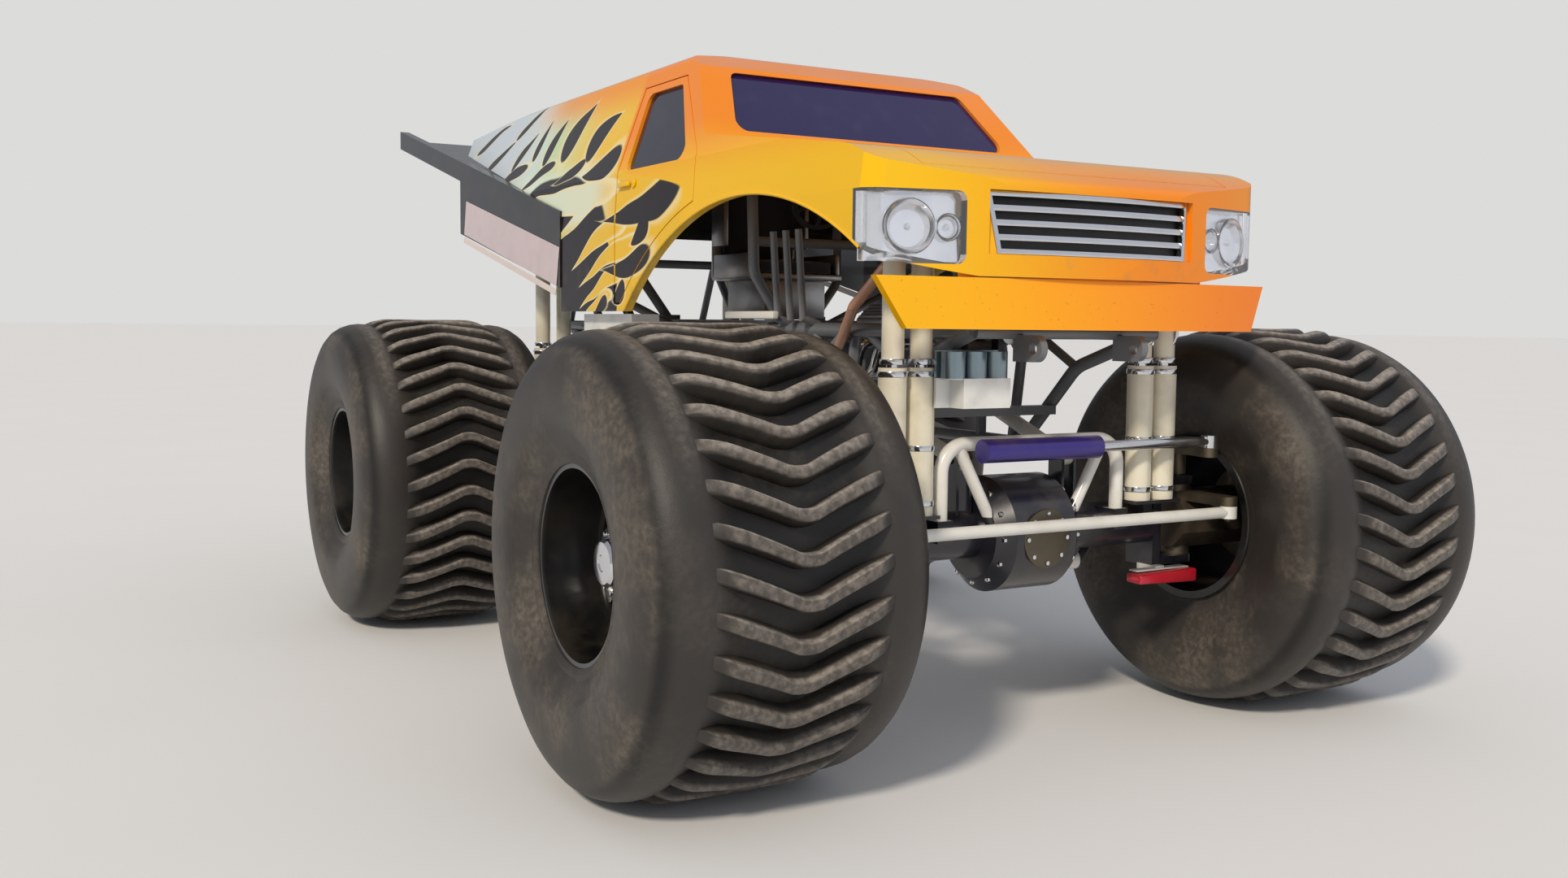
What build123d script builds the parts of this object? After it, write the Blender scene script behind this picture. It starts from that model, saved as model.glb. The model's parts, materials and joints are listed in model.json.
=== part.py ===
"""Monster truck: a sport-utility body on a tube chassis, with steered axles and tall lugged tyres.

Frame: +X forward, +Y to the truck's left, +Z up, millimetres. The origin is on the ground under
the middle of the whole outline. An axle is drawn once, in a frame of its own whose +X points away
from the truck's middle, and the rear axle is the front one turned round.
"""

from build123d import *
import math
import os

# Stance
tyre_radius = 838.0
tyre_width = 1060.0
wheelbase = 3400.0
track = 2880.0
front_axle_x = 2382.0
rear_axle_x = front_axle_x - wheelbase
mid_x = (front_axle_x + rear_axle_x) / 2
half_base = wheelbase / 2
half_track = track / 2
axle_z = tyre_radius

# Tyre carcass and lugs
carcass_sides = 20
crown_radius = 765.0
shoulder_half = 485.0
bulge_radius = 600.0
bead_radius = 345.0
bead_half = 440.0
bead_face = 30.0
lugs_per_side = 20
lug_width = 84.0
lug_angle = 25.0
lug_start = 18.0
lug_flat = 460.0
lug_end = 562.0
lug_sink = 40.0
lug_skirt = 115.0

# Rim and planetary hub; places along Y are outwards from the wheel's middle
wheel_sides = 30
hub_sides = 20
rim_wall = 18.0
rim_half = 457.0
lip_height = 20.0
lip_width = 14.0
disc_y = 215.0
disc_thick = 24.0
windows = 10
window_corners = 4
window_radius = 42.0
window_circle = 235.0
drum_radius = 138.0
drum_start = -70.0
drum_end = 318.0
flange_radius = 185.0
flange_thick = 26.0
cap_radius = 86.0
cap_length = 42.0
brake_radius = 215.0
brake_thick = 22.0
brake_gap = 7.0
spindle_radius = 62.0
spindle_end = 150.0

# Knuckle, kingpin, arms, tie rod and steering ram
kingpin_y = 930.0
running_gap = 0.4
boss_radius = 60.0
boss_half = 155.0
kingpin_radius = 24.0
pin_stand = 12.0
knuckle_sides = 8
knuckle_radius = 132.0
knuckle_start = 860.0
knuckle_end_gap = 22.0
caliper_half_length = 85.0
caliper_half_width = 52.0
caliper_low = 150.0
caliper_high = 240.0
caliper_foot = 50.0
yoke_wall_y = 740.0
yoke_wall_thick = 46.0
yoke_wall_half = 80.0
yoke_arm_thick = 34.0
yoke_half_width = 66.0
arm_thick = 40.0
arm_gap = 8.0
rod_end_radius = 36.0
rod_end_height = 52.0
rod_end_pin = 14.0
tie_arm_reach = 300.0
tie_rod_radius = 24.0
tie_rod_lift = 60.0
ram_arm_reach = 230.0
ram_arm_inset = 50.0
ram_arm_lift = 290.0
ram_barrel_radius = 46.0
ram_barrel_in = -330.0
ram_barrel_out = 250.0
ram_bore_in = -270.0
ram_rod_radius = 22.0
ram_rod_in = -120.0
ram_saddle_inset = 60.0
ram_saddle_width = 30.0

# Axle housing and its truss; truss points are Y and Z
axle_tube_radius = 95.0
diff_radius = 235.0
diff_half = 150.0
diff_bevel = 60.0
pinion_radius = 100.0
pinion_reach = 330.0
pinion_lift = 60.0
truss_x = 130.0
truss_radius = 28.0
brace_radius = 24.0
truss_low = (190.0, 880.0)
truss_bend = (450.0, 1215.0)
truss_brace = (370.0, 1205.0)
truss_foot = (450.0, 900.0)
truss_round = 110.0
truss_shoe = 36.0
truss_shoe_rise = 24.0

# Links; X is measured from the axle towards the truck's middle, then Y and Z
low_link_axle = (110.0, 420.0, 673.0)
low_link_frame = (1300.0, 300.0, 1060.0)
top_link_axle = (0.0, 270.0, 1140.0)
top_link_frame = (1120.0, 380.0, 1500.0)
link_radius = 32.0
link_neck = 80.0
link_neck_radius = 20.0
eye_radius = 42.0
eye_width = 50.0
ear_thick = 14.0
pin_radius = 16.0

# Shocks
shock_x = 140.0
shock_places = (690.0, 560.0)
shock_foot_z = 954.0
shock_top_z = 2000.0
shock_body_radius = 54.0
shock_body_height = 560.0
shock_rod_radius = 24.0
shock_plate_thick = 14.0
shock_plate_half = 60.0
shock_web_thick = 50.0

# Chassis tubes; reaches are from the truck's middle
rail_radius = 30.0
low_rail_radius = 28.0
cross_radius = 26.0
brace_radii = (24.0, 22.0, 20.0)
rail_bend = 200.0
brace_step = 70.0
brace_mid_reach = 250.0
frame_half = 450.0
low_rail_z = 1150.0
top_rail_z = 1650.0
low_rail_reach = 1218.0
kick_reach = 1568.0
kick_z = 1500.0
nose_reach = 2018.0
tower_beam_z = 2034.0
tower_beam_half = 740.0
tower_leg_reach = 330.0
floor_thick = 10.0
floor_rest = 0.3
beam_height = 40.0
beam_width = 50.0
mount_x = 150.0
mount_z = 1860.0
mount_pad = 14.0
mount_half = 35.0
front_mount_z = 2110.0
stay_pad = 80.0
stay_pad_rise = 44.0
tow_y = 250.0
tow_drop = 60.0
tow_reach = 115.0
tow_thick = 30.0
tow_radius = 50.0
tow_bore = 22.0

# Fluid cans and their box under the right rail, and the fuel box under the right side
hanger_thick = 12.0
hanger_y = (-540.0, -250.0)
can_x = 2634.0
can_radius = 46.0
can_places = (-494.0, -394.0, -294.0)
can_height = 100.0
can_sink = 4.0
can_box_y = (-476.0, -256.0)
can_box_z = (1364.0, 1476.0)
fuel_box_x = (20.0, 620.0)
fuel_box_y = (-905.0, -760.0)
fuel_box_z = (1610.0, 1712.0)
fuel_arm_inset = 60.0

# Cab cage on its floor plate, from the front foot to the rear one; columns are X, half-width and Z
cage_radius = 25.0
hoop_radius = 22.0
cage_bend = 90.0
cage_bends = (
    (1250.0, 450.0, 1700.0),
    (1280.0, 600.0, 1900.0),
    (1250.0, 600.0, 2350.0),
    (880.0, 540.0, 2730.0),
    (60.0, 540.0, 2730.0),
    (60.0, 600.0, 2300.0),
    (60.0, 600.0, 1900.0),
    (60.0, 450.0, 1700.0),
)
cage_hoops = (2, 3, 4)
cage_foot = 100.0
cage_foot_rise = 24.0

# Power train
engine_back_x = 1500.0
engine_length = 700.0
engine_half = 240.0
engine_low_z = 1330.0
engine_height = 560.0
engine_beam_inset = 100.0
case_half_length = 210.0
case_half_width = 210.0
case_low_z = 1130.0
case_height = 400.0
case_beam_inset = 60.0
bell_radius = 98.0
bell_z = 1490.0
output_z = 1285.0
shaft_radius = 34.0
joint_radius = 75.0
joint_length = 60.0

# Body outline; points are X and Z
body_half = 965.0
wall = 45.0
panel_gap = 6.0
nose_x = 2880.0
nose_curve = 3360.0
plan_corner = 120.0
plan_spare = 15.0
fascia_low_z = 1850.0
fascia_top = (2850.0, 2200.0)
fascia_round = 60.0
hood_break = (2640.0, 2312.0)
hood_round = 500.0
cowl = (1400.0, 2480.0)
screen_top = (1090.0, 2830.0)
roof_front = (900.0, 2925.0)
roof_round = 300.0
roof_mid = (-300.0, 2935.0)
tail_x = -2150.0
tail_top_z = 2830.0
form_low_z = 1000.0
sill_z = 1725.0
arch_x = 1820.0
arch_z = 500.0
arch_radius = 1690.0

# Body cross-section; points are Y and Z
waist_z = 2150.0
belt = (950.0, 2380.0)
roof_edge = (765.0, 2890.0)
roof_edge_round = 60.0
crown_z = 2985.0

# Hood, screen and glass; screen points are Y and Z
hood_half = 745.0
hood_low_z = 2190.0
hood_front_x = 2770.0
hood_back_x = 1452.0
screen_low = (745.0, 2510.0)
screen_high = (640.0, 2805.0)
screen_round = 45.0
glass_depth = 16.0
glass_thick = 8.0

# Doors and side windows; window columns are the back and the front X at the bottom, then at the top
door_back_x = 560.0
door_back_gap = 16.0
door_front_x = 1385.0
door_sill_z = 1765.0
door_arch_gap = 60.0
door_shoulder_z = 2400.0
door_top_x = 1000.0
door_top_z = 2790.0
window_low_z = 2385.0
window_high_z = 2755.0
window_round = 45.0
door_window = (640.0, 1290.0, 625.0, 985.0)
quarter_panel = (-560.0, 470.0, -600.0, 480.0)
hinge_heights = (2245.0, 2350.0)
hinge_half = 18.0
hinge_leaf = 20.0
hinge_inner = 43.0
hinge_outer = 20.0

# Grille, lamps and bumper; bumper columns are half-width, Z and X
grille_half = 500.0
grille_low_z = 1930.0
grille_high_z = 2160.0
grille_frame = 26.0
grille_bars = 4
grille_bar = 18.0
grille_depth = 26.0
lamp_inner_y = 590.0
lamp_low_z = 1890.0
lamp_high_z = 2150.0
lamp_back_x = 2660.0
lamp_round = 35.0
bumper_low = (850.0, 1660.0, 2900.0)
bumper_high = (955.0, 1845.0, 2860.0)
bumper_depth = 95.0
bumper_wall = 30.0
bumper_curve = 60.0
bracket_y = 330.0
bracket_half = 40.0
seat_gap = 0.3

# Cab fittings
seat_x = 420.0
seat_width = 520.0
seat_length = 520.0
seat_base = 330.0
seat_back = 760.0
seat_thick = 130.0
wheel_x = 900.0
wheel_z = 2300.0
wheel_radius = 180.0
wheel_grip = 24.0
wheel_tilt = 35.0
column_radius = 20.0
dash_x = 1270.0

# Rear deck, its skirts and stays
deck_mark = (-790.0, 2400.0)
deck_rise = 13.6
deck_front_x = -150.0
deck_end_x = -3220.0
deck_half = 972.0
rail_height = 120.0
rail_width = 60.0
deck_floor_drop = 60.0
deck_floor_thick = 16.0
skirt_back_x = -1850.0
skirt_low_z = 1850.0
skirt_rise = 12.0
skirt_thick = 40.0
front_stay_x = -420.0
rear_stay_y = 625.0
stay_radius = 28.0

os.makedirs("parts", exist_ok=True)


def deck_top(x):
    """Height of the deck's top face at a place along the truck."""
    return deck_mark[1] + (deck_mark[0] - x) * math.tan(math.radians(deck_rise))


def save(name, part):
    """Labels a solid and writes it as a STEP file of its own."""
    part.label = name
    export_step(part, f"parts/{name}.step")


def across(y, z=0.0):
    """A plane square to Y, facing the left, with its own Y axis pointing down."""
    return Plane(origin=(0, y, z), x_dir=(1, 0, 0), z_dir=(0, 1, 0))


def rod(start, end, radius, mode=Mode.ADD):
    """Adds a round bar from one point to another to the open part."""
    a = Vector(*start)
    b = Vector(*end)
    with BuildSketch(Plane(origin=a, z_dir=b - a)) as section:
        Circle(radius)
    extrude(section.sketch, amount=(b - a).length, mode=mode)


def bent_tube(points, radius, bend):
    """Adds a tube that is bent through points to the open part."""
    with BuildLine() as path:
        FilletPolyline(*points, radius=bend)
    with BuildSketch(Plane(origin=path.line @ 0, z_dir=path.line % 0)) as section:
        Circle(radius)
    sweep(section.sketch, path=path.line)


def block(low, high, mode=Mode.ADD):
    """Adds a box between two corners to the open part."""
    with BuildSketch(Plane.XY.offset(low[2])) as section:
        with Locations(((low[0] + high[0]) / 2, (low[1] + high[1]) / 2)):
            Rectangle(high[0] - low[0], high[1] - low[1])
    extrude(section.sketch, amount=high[2] - low[2], mode=mode)


def side_profile(y, points, corner=0.0):
    """A face square to Y, from points in X and Z, with its corners' radius."""
    with BuildSketch(across(y)) as face:
        with BuildLine():
            Polyline(*[(x, -z) for x, z in points], close=True)
        make_face()
        if corner:
            fillet(face.vertices(), corner)
    return face.sketch


def ring(start, end, radius, sides, bore=0.0, bore_sides=0):
    """Adds a many-sided ring about the wheel's axis to the open part."""
    with BuildSketch(across(start)) as section:
        RegularPolygon(radius, sides)
        if bore:
            RegularPolygon(bore, bore_sides or sides, mode=Mode.SUBTRACT)
    extrude(section.sketch, amount=end - start)


def flat_arm(start, end, low):
    """Adds a flat arm with round ends between two points in plan to the open part."""
    a = Vector(*start)
    b = Vector(*end)
    turn = math.degrees(math.atan2(b.Y - a.Y, b.X - a.X))
    with BuildSketch(Plane.XY.offset(low)) as section:
        with Locations(a, b):
            Circle(rod_end_radius)
        with Locations(Location((a + b) / 2, (0, 0, turn))):
            Rectangle((b - a).length, 2 * rod_end_radius)
    extrude(section.sketch, amount=arm_thick)


def rod_end(x, y, z):
    """Adds an upright eye with its bore to the open part."""
    half = rod_end_height / 2
    rod((x, y, z - half), (x, y, z + half), rod_end_radius)
    rod((x, y, z - half), (x, y, z + half), rod_end_pin + running_gap, Mode.SUBTRACT)


def clevis(centre, toward, reach):
    """Adds two ears and their pin, with the pin along Y, to the open part."""
    middle = Vector(*centre)
    half_pin = Vector(0, eye_width / 2 + 1.5 * ear_thick, 0)
    for side in (-1, 1):
        face = middle + Vector(0, side * eye_width / 2, 0)
        with BuildSketch(Plane(origin=face, x_dir=toward, z_dir=(0, side, 0))) as section:
            Circle(eye_radius)
            with Locations((reach / 2, 0)):
                Rectangle(reach, 2 * eye_radius)
        extrude(section.sketch, amount=ear_thick)
    rod(middle - half_pin, middle + half_pin, pin_radius)


def on_axle(front):
    """Where an axle's own frame sits in the truck's frame."""
    return Pos(front_axle_x, 0, 0) if front else Pos(rear_axle_x, 0, 0) * Rot(0, 0, 180)


# Tyre

with BuildPart() as carcass:
    stations = (
        (-bead_half, bead_radius + bead_face),
        (-tyre_width / 2, bulge_radius),
        (-shoulder_half, crown_radius),
        (shoulder_half, crown_radius),
        (tyre_width / 2, bulge_radius),
        (bead_half, bead_radius + bead_face),
    )
    for y, radius in stations:
        with BuildSketch(across(y)):
            RegularPolygon(radius, carcass_sides)
    loft(ruled=True)
    with BuildSketch(across(-tyre_width)):
        RegularPolygon(bead_radius, wheel_sides)
    extrude(amount=2 * tyre_width, mode=Mode.SUBTRACT)

lug_turn = math.radians(lug_angle)
lug_middle = (lug_start + lug_flat) / 2 * math.sin(lug_turn)
lug_span = lug_flat * math.sin(lug_turn) - lug_middle + lug_width / 2 * math.cos(lug_turn)
lug_top = math.sqrt(tyre_radius**2 - lug_span**2)
with BuildPart() as lug:
    with BuildSketch(Plane.YZ.offset(-lug_width / 2)):
        with BuildLine():
            Polyline(
                (lug_start, crown_radius - lug_sink),
                (lug_start, lug_top),
                (lug_flat, lug_top),
                (lug_end, crown_radius - lug_skirt),
                (shoulder_half, crown_radius - lug_skirt),
                close=True,
            )
        make_face()
    extrude(amount=lug_width)

lugs = []
for side, stagger in ((1, 0.0), (-1, 0.5)):
    bar = lug.part if side > 0 else mirror(lug.part, about=Plane.XZ)
    bar = Pos(-lug_middle, 0, 0) * Rot(0, 0, -side * lug_angle) * bar
    lugs += [Rot(0, (n + stagger) * 360 / lugs_per_side, 0) * bar for n in range(lugs_per_side)]
tyre = carcass.part.fuse(*lugs)

# Rim

with BuildPart() as rim:
    rim_bore = bead_radius - rim_wall
    ring(-rim_half, rim_half, bead_radius, wheel_sides, rim_bore)
    for y in (-rim_half, rim_half - lip_width):
        ring(y, y + lip_width, bead_radius + lip_height, wheel_sides, rim_bore)
    ring(disc_y, disc_y + disc_thick, bead_radius - rim_wall / 2, wheel_sides, drum_radius, hub_sides)
    with BuildSketch(across(disc_y)):
        with PolarLocations(window_circle, windows):
            RegularPolygon(window_radius, window_corners)
    extrude(amount=disc_thick, mode=Mode.SUBTRACT)

# Hub with its brake disc

with BuildPart() as hub:
    ring(drum_start, drum_end, drum_radius, hub_sides)
    ring(drum_start, drum_start + brake_thick, brake_radius, hub_sides)
    ring(disc_y - flange_thick, disc_y, flange_radius, hub_sides)
    ring(drum_end, drum_end + cap_length, cap_radius, hub_sides)
    with BuildSketch(across(drum_start)):
        Circle(spindle_radius + running_gap)
    extrude(amount=spindle_end - drum_start + running_gap, mode=Mode.SUBTRACT)

# Knuckle

barrel_end = half_track + drum_start - knuckle_end_gap
yoke_top = boss_half + running_gap + yoke_arm_thick


def steering_knuckle(with_ram):
    """The turning casting at the axle's left end: kingpin, arms, spindle and brake caliper."""
    arm_low = axle_z + tie_rod_lift + rod_end_height / 2 + running_gap
    pin_low = arm_low - rod_end_height - pin_stand
    pin_half = yoke_top + pin_stand
    disc_middle = half_track + drum_start + brake_thick / 2
    slot_half = brake_thick / 2 + brake_gap
    with BuildPart() as knuckle:
        block(
            (-caliper_half_length, disc_middle - caliper_half_width, axle_z + caliper_low),
            (caliper_half_length, disc_middle + caliper_half_width, axle_z + caliper_high),
        )
        with BuildSketch(across(disc_middle - slot_half, axle_z)):
            Circle(brake_radius + brake_gap)
        extrude(amount=2 * slot_half, mode=Mode.SUBTRACT)
        block(
            (-caliper_foot, barrel_end - caliper_foot, axle_z),
            (caliper_foot, barrel_end, axle_z + caliper_high),
        )
        with BuildSketch(across(knuckle_start, axle_z)):
            RegularPolygon(knuckle_radius, knuckle_sides, rotation=180 / knuckle_sides)
        extrude(amount=barrel_end - knuckle_start)
        rod((0, kingpin_y, axle_z - boss_half), (0, kingpin_y, axle_z + boss_half), boss_radius)
        rod((0, kingpin_y, axle_z - pin_half), (0, kingpin_y, axle_z + pin_half), kingpin_radius)
        rod((0, barrel_end, axle_z), (0, half_track + spindle_end, axle_z), spindle_radius)
        flat_arm((0, kingpin_y), (tie_arm_reach, kingpin_y), arm_low)
        rod((tie_arm_reach, kingpin_y, pin_low), (tie_arm_reach, kingpin_y, arm_low), rod_end_pin)
        if with_ram:
            arm_z = axle_z + ram_arm_lift
            rod((0, kingpin_y, axle_z + yoke_top + arm_gap), (0, kingpin_y, arm_z), rod_end_radius)
            flat_arm((0, kingpin_y), (ram_arm_reach, kingpin_y - ram_arm_inset), arm_z)
    return knuckle.part


# Tie rod and the ram's rod

with BuildPart() as tie_rod:
    tie_z = axle_z + tie_rod_lift
    rod((tie_arm_reach, -kingpin_y, tie_z), (tie_arm_reach, kingpin_y, tie_z), tie_rod_radius)
    for y in (-kingpin_y, kingpin_y):
        rod_end(tie_arm_reach, y, tie_z)

with BuildPart() as ram_rod:
    ram_z = axle_z + ram_arm_lift + arm_thick + running_gap + rod_end_height / 2
    ram_eye_y = kingpin_y - ram_arm_inset
    rod((ram_arm_reach, ram_rod_in, ram_z), (ram_arm_reach, ram_eye_y, ram_z), ram_rod_radius)
    rod_end(ram_arm_reach, ram_eye_y, ram_z)

# Axle housing with its yokes, brackets, truss and ram barrel

with BuildPart() as axle:
    rod((0, -yoke_wall_y, axle_z), (0, yoke_wall_y, axle_z), axle_tube_radius)
    with BuildSketch(Plane.XY.offset(axle_z)):
        with BuildLine():
            Polyline(
                (0, -diff_half - diff_bevel),
                (diff_radius - diff_bevel, -diff_half - diff_bevel),
                (diff_radius, -diff_half),
                (diff_radius, diff_half),
                (diff_radius - diff_bevel, diff_half + diff_bevel),
                (0, diff_half + diff_bevel),
                close=True,
            )
        make_face()
    revolve(axis=Axis((0, 0, axle_z), (0, 1, 0)))
    pinion_z = axle_z + pinion_lift
    rod((0, 0, pinion_z), (-pinion_reach, 0, pinion_z), pinion_radius)
    for side in (-1, 1):
        block(
            (-yoke_wall_half, side * yoke_wall_y - yoke_wall_thick / 2, axle_z - yoke_top),
            (yoke_wall_half, side * yoke_wall_y + yoke_wall_thick / 2, axle_z + yoke_top),
        )
        for z in (axle_z + yoke_top - yoke_arm_thick, axle_z - yoke_top):
            with BuildSketch(Plane.XY.offset(z)):
                with Locations((0, side * (yoke_wall_y + kingpin_y) / 2)):
                    Rectangle(2 * yoke_half_width, kingpin_y - yoke_wall_y)
                with Locations((0, side * kingpin_y)):
                    Circle(yoke_half_width)
                    Circle(kingpin_radius + running_gap, mode=Mode.SUBTRACT)
            extrude(amount=yoke_arm_thick)
        for x, y, z in (low_link_axle, top_link_axle):
            reach = math.hypot(x, axle_z - z) - axle_tube_radius / 2
            clevis((-x, side * y, z), (x, 0, axle_z - z), reach)
        shock_middle = side * sum(shock_places) / 2
        plate_half = (shock_places[0] - shock_places[1]) / 2 + shock_plate_half
        plate_low = shock_foot_z - shock_plate_thick
        block(
            (shock_x - shock_plate_half, shock_middle - plate_half, plate_low),
            (shock_x + shock_plate_half, shock_middle + plate_half, shock_foot_z),
        )
        block(
            (0, shock_middle - shock_web_thick / 2, axle_z),
            (shock_x, shock_middle + shock_web_thick / 2, plate_low),
        )
        rod(*[(truss_x, side * y, z) for y, z in (truss_low, truss_brace)], brace_radius)
        block(
            (0, side * truss_foot[0] - truss_shoe, axle_z),
            (truss_x + truss_shoe, side * truss_foot[0] + truss_shoe, truss_foot[1] + truss_shoe_rise),
        )
    truss_side = [(truss_x, y, z) for y, z in (truss_foot, truss_bend)]
    bent_tube(truss_side + [(x, -y, z) for x, y, z in reversed(truss_side)], truss_radius, truss_round)
    rod((ram_arm_reach, ram_barrel_in, ram_z), (ram_arm_reach, ram_barrel_out, ram_z), ram_barrel_radius)
    for y in (ram_barrel_in + ram_saddle_inset, ram_barrel_out - ram_saddle_inset):
        block(
            (truss_x, y - ram_saddle_width / 2, ram_z - truss_radius),
            (ram_arm_reach, y + ram_saddle_width / 2, ram_z + truss_radius),
        )
    with BuildSketch(Plane(origin=(ram_arm_reach, ram_bore_in, ram_z), z_dir=(0, 1, 0))):
        Circle(ram_rod_radius + running_gap)
    extrude(amount=ram_barrel_out - ram_bore_in, mode=Mode.SUBTRACT)

# Links and shocks


def link(start, end):
    """Adds a round link with an eye at each end to the open part."""
    a = Vector(*start)
    b = Vector(*end)
    along = (b - a).normalized()
    half = Vector(0, eye_width / 2, 0)
    rod(a, b, link_neck_radius)
    rod(a + along * link_neck, b - along * link_neck, link_radius)
    for point in (a, b):
        rod(point - half, point + half, eye_radius)
        rod(point - half, point + half, pin_radius + running_gap, Mode.SUBTRACT)


with BuildPart() as links:
    for side in (-1, 1):
        for ends in ((low_link_axle, low_link_frame), (top_link_axle, top_link_frame)):
            link(*[(-x, side * y, z) for x, y, z in ends])

with BuildPart() as shocks:
    body_top = shock_foot_z + shock_body_height
    for side in (-1, 1):
        for place in shock_places:
            y = side * place
            rod((shock_x, y, shock_foot_z), (shock_x, y, body_top), shock_body_radius)
            rod((shock_x, y, body_top), (shock_x, y, shock_top_z), shock_rod_radius)

# Placing of the running gear; columns are the corner, the axle and the side in the axle's own frame

knuckle_with_ram = steering_knuckle(True)
knuckle_plain = steering_knuckle(False)
corners = (
    ("front_left", True, 1),
    ("front_right", True, -1),
    ("rear_left", False, -1),
    ("rear_right", False, 1),
)
for corner, front, side in corners:
    knuckle = knuckle_with_ram if side > 0 else mirror(knuckle_plain, about=Plane.XZ)
    save(f"knuckle_{corner}", on_axle(front) * knuckle)
    wheel_place = on_axle(front) * Pos(0, side * half_track, axle_z)
    for piece, solid in (("hub", hub.part), ("rim", rim.part), ("tyre", tyre)):
        turned = solid if side > 0 else mirror(solid, about=Plane.XZ)
        save(f"{piece}_{corner}", wheel_place * turned)
axle_pieces = {"axle": axle, "tie_rod": tie_rod, "ram_rod": ram_rod, "links": links, "shocks": shocks}
for end, front in (("front", True), ("rear", False)):
    for piece, solid in axle_pieces.items():
        save(f"{piece}_{end}", on_axle(front) * solid.part)

# Tube chassis

tower_reach = half_base + shock_x
low_link_reach = half_base - low_link_frame[0]
top_link_reach = half_base - top_link_frame[0]
top_link_cross_z = top_rail_z - rail_radius
engine_beams = (engine_back_x + engine_beam_inset, engine_back_x + engine_length - engine_beam_inset)
case_beams = (mid_x - case_half_length + case_beam_inset, mid_x + case_half_length - case_beam_inset)
mount_y = body_half - wall - mount_pad
stay_feet = (
    (front_stay_x, frame_half, top_rail_z + stay_pad_rise),
    (mid_x - tower_reach, rear_stay_y, tower_beam_z + stay_pad_rise),
)
low_rail = ((low_rail_reach, low_rail_z), (kick_reach, kick_z), (nose_reach, top_rail_z))
# Braces; columns are the reach and Z of the lower end, then of the upper end, and the radius's place
braces = (
    (low_link_reach, low_rail_z, brace_mid_reach, top_rail_z, 0),
    (low_link_reach, low_rail_z, low_rail_reach - brace_step, top_rail_z, 1),
    (low_rail_reach - brace_step, low_rail_z, low_rail_reach, top_rail_z, 0),
    (kick_reach, kick_z, low_rail_reach + brace_step, top_rail_z, 2),
    (tower_reach - tower_leg_reach, top_rail_z, tower_reach, tower_beam_z, 0),
    (nose_reach, top_rail_z, tower_reach, tower_beam_z, 1),
)
# Cross tubes; columns are the reach from the truck's middle, the half-width and Z
cross_tubes = (
    (low_rail_reach, frame_half, low_rail_z),
    (low_link_reach, frame_half, low_rail_z),
    (top_link_reach, frame_half, top_link_cross_z),
    (nose_reach, frame_half, top_rail_z),
    (tower_reach, tower_beam_half, tower_beam_z),
)
with BuildPart() as chassis:
    for side in (-1, 1):
        y = side * frame_half
        bent_tube(
            [(mid_x + reach, y, z) for reach, z in reversed(low_rail)]
            + [(mid_x - reach, y, z) for reach, z in low_rail],
            low_rail_radius,
            rail_bend,
        )
        rod((mid_x - nose_reach, y, top_rail_z), (mid_x + nose_reach, y, top_rail_z), rail_radius)
    for end in (-1, 1):
        for reach, y, z in cross_tubes:
            rod((mid_x + end * reach, -y, z), (mid_x + end * reach, y, z), cross_radius)
        for side in (-1, 1):
            for low_reach, low_z, high_reach, high_z, size in braces:
                rod(
                    (mid_x + end * low_reach, side * frame_half, low_z),
                    (mid_x + end * high_reach, side * frame_half, high_z),
                    brace_radii[size],
                )
            tower_x = mid_x + end * tower_reach
            middle = side * sum(shock_places) / 2
            block(
                (tower_x - shock_plate_half, middle - plate_half, shock_top_z),
                (tower_x + shock_plate_half, middle + plate_half, shock_top_z + shock_plate_thick),
            )
            for frame_end, cross_z in ((low_link_frame, low_rail_z), (top_link_frame, top_link_cross_z)):
                link_x = mid_x + end * (half_base - frame_end[0])
                clevis((link_x, side * frame_end[1], frame_end[2]), (0, 0, 1), cross_z - frame_end[2])
            nose_at = mid_x + end * nose_reach
            tow_x = nose_at + end * tow_reach
            with BuildSketch(across(side * tow_y - tow_thick / 2, top_rail_z - tow_drop)) as tow_eye:
                with Locations((tow_x, 0)):
                    Circle(tow_radius)
                with Locations(((tow_x + nose_at) / 2, 0)):
                    Rectangle(tow_reach, 2 * tow_radius)
                with Locations((tow_x, 0)):
                    Circle(tow_bore, mode=Mode.SUBTRACT)
            extrude(tow_eye.sketch, amount=tow_thick)
    for side in (-1, 1):
        y = side * frame_half
        rod((engine_beams[0], y, low_rail_z), (engine_beams[0], y, top_rail_z), brace_radii[0])
        tower_end = (mid_x + tower_reach, side * tower_beam_half, tower_beam_z)
        for start, x, z in (
            ((mount_x, y, top_rail_z), mount_x, mount_z),
            (tower_end, tower_end[0], front_mount_z),
        ):
            low_y, high_y = sorted((side * mount_y, side * (mount_y + mount_pad)))
            rod(start, (x, side * mount_y, z), hoop_radius)
            block((x - mount_half, low_y, z - mount_half), (x + mount_half, high_y, z + mount_half))
        for foot_x, foot_y, foot_z in stay_feet:
            block(
                (foot_x - stay_pad / 2, side * foot_y - stay_pad / 2, foot_z - stay_pad_rise),
                (foot_x + stay_pad / 2, side * foot_y + stay_pad / 2, foot_z),
            )
    for beams, top_z in ((engine_beams, engine_low_z), (case_beams, case_low_z)):
        for x in beams:
            block((x - beam_width / 2, -frame_half, top_z - beam_height), (x + beam_width / 2, frame_half, top_z))

# Fluid cans before their hanger, and the fuel box on its arms

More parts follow.
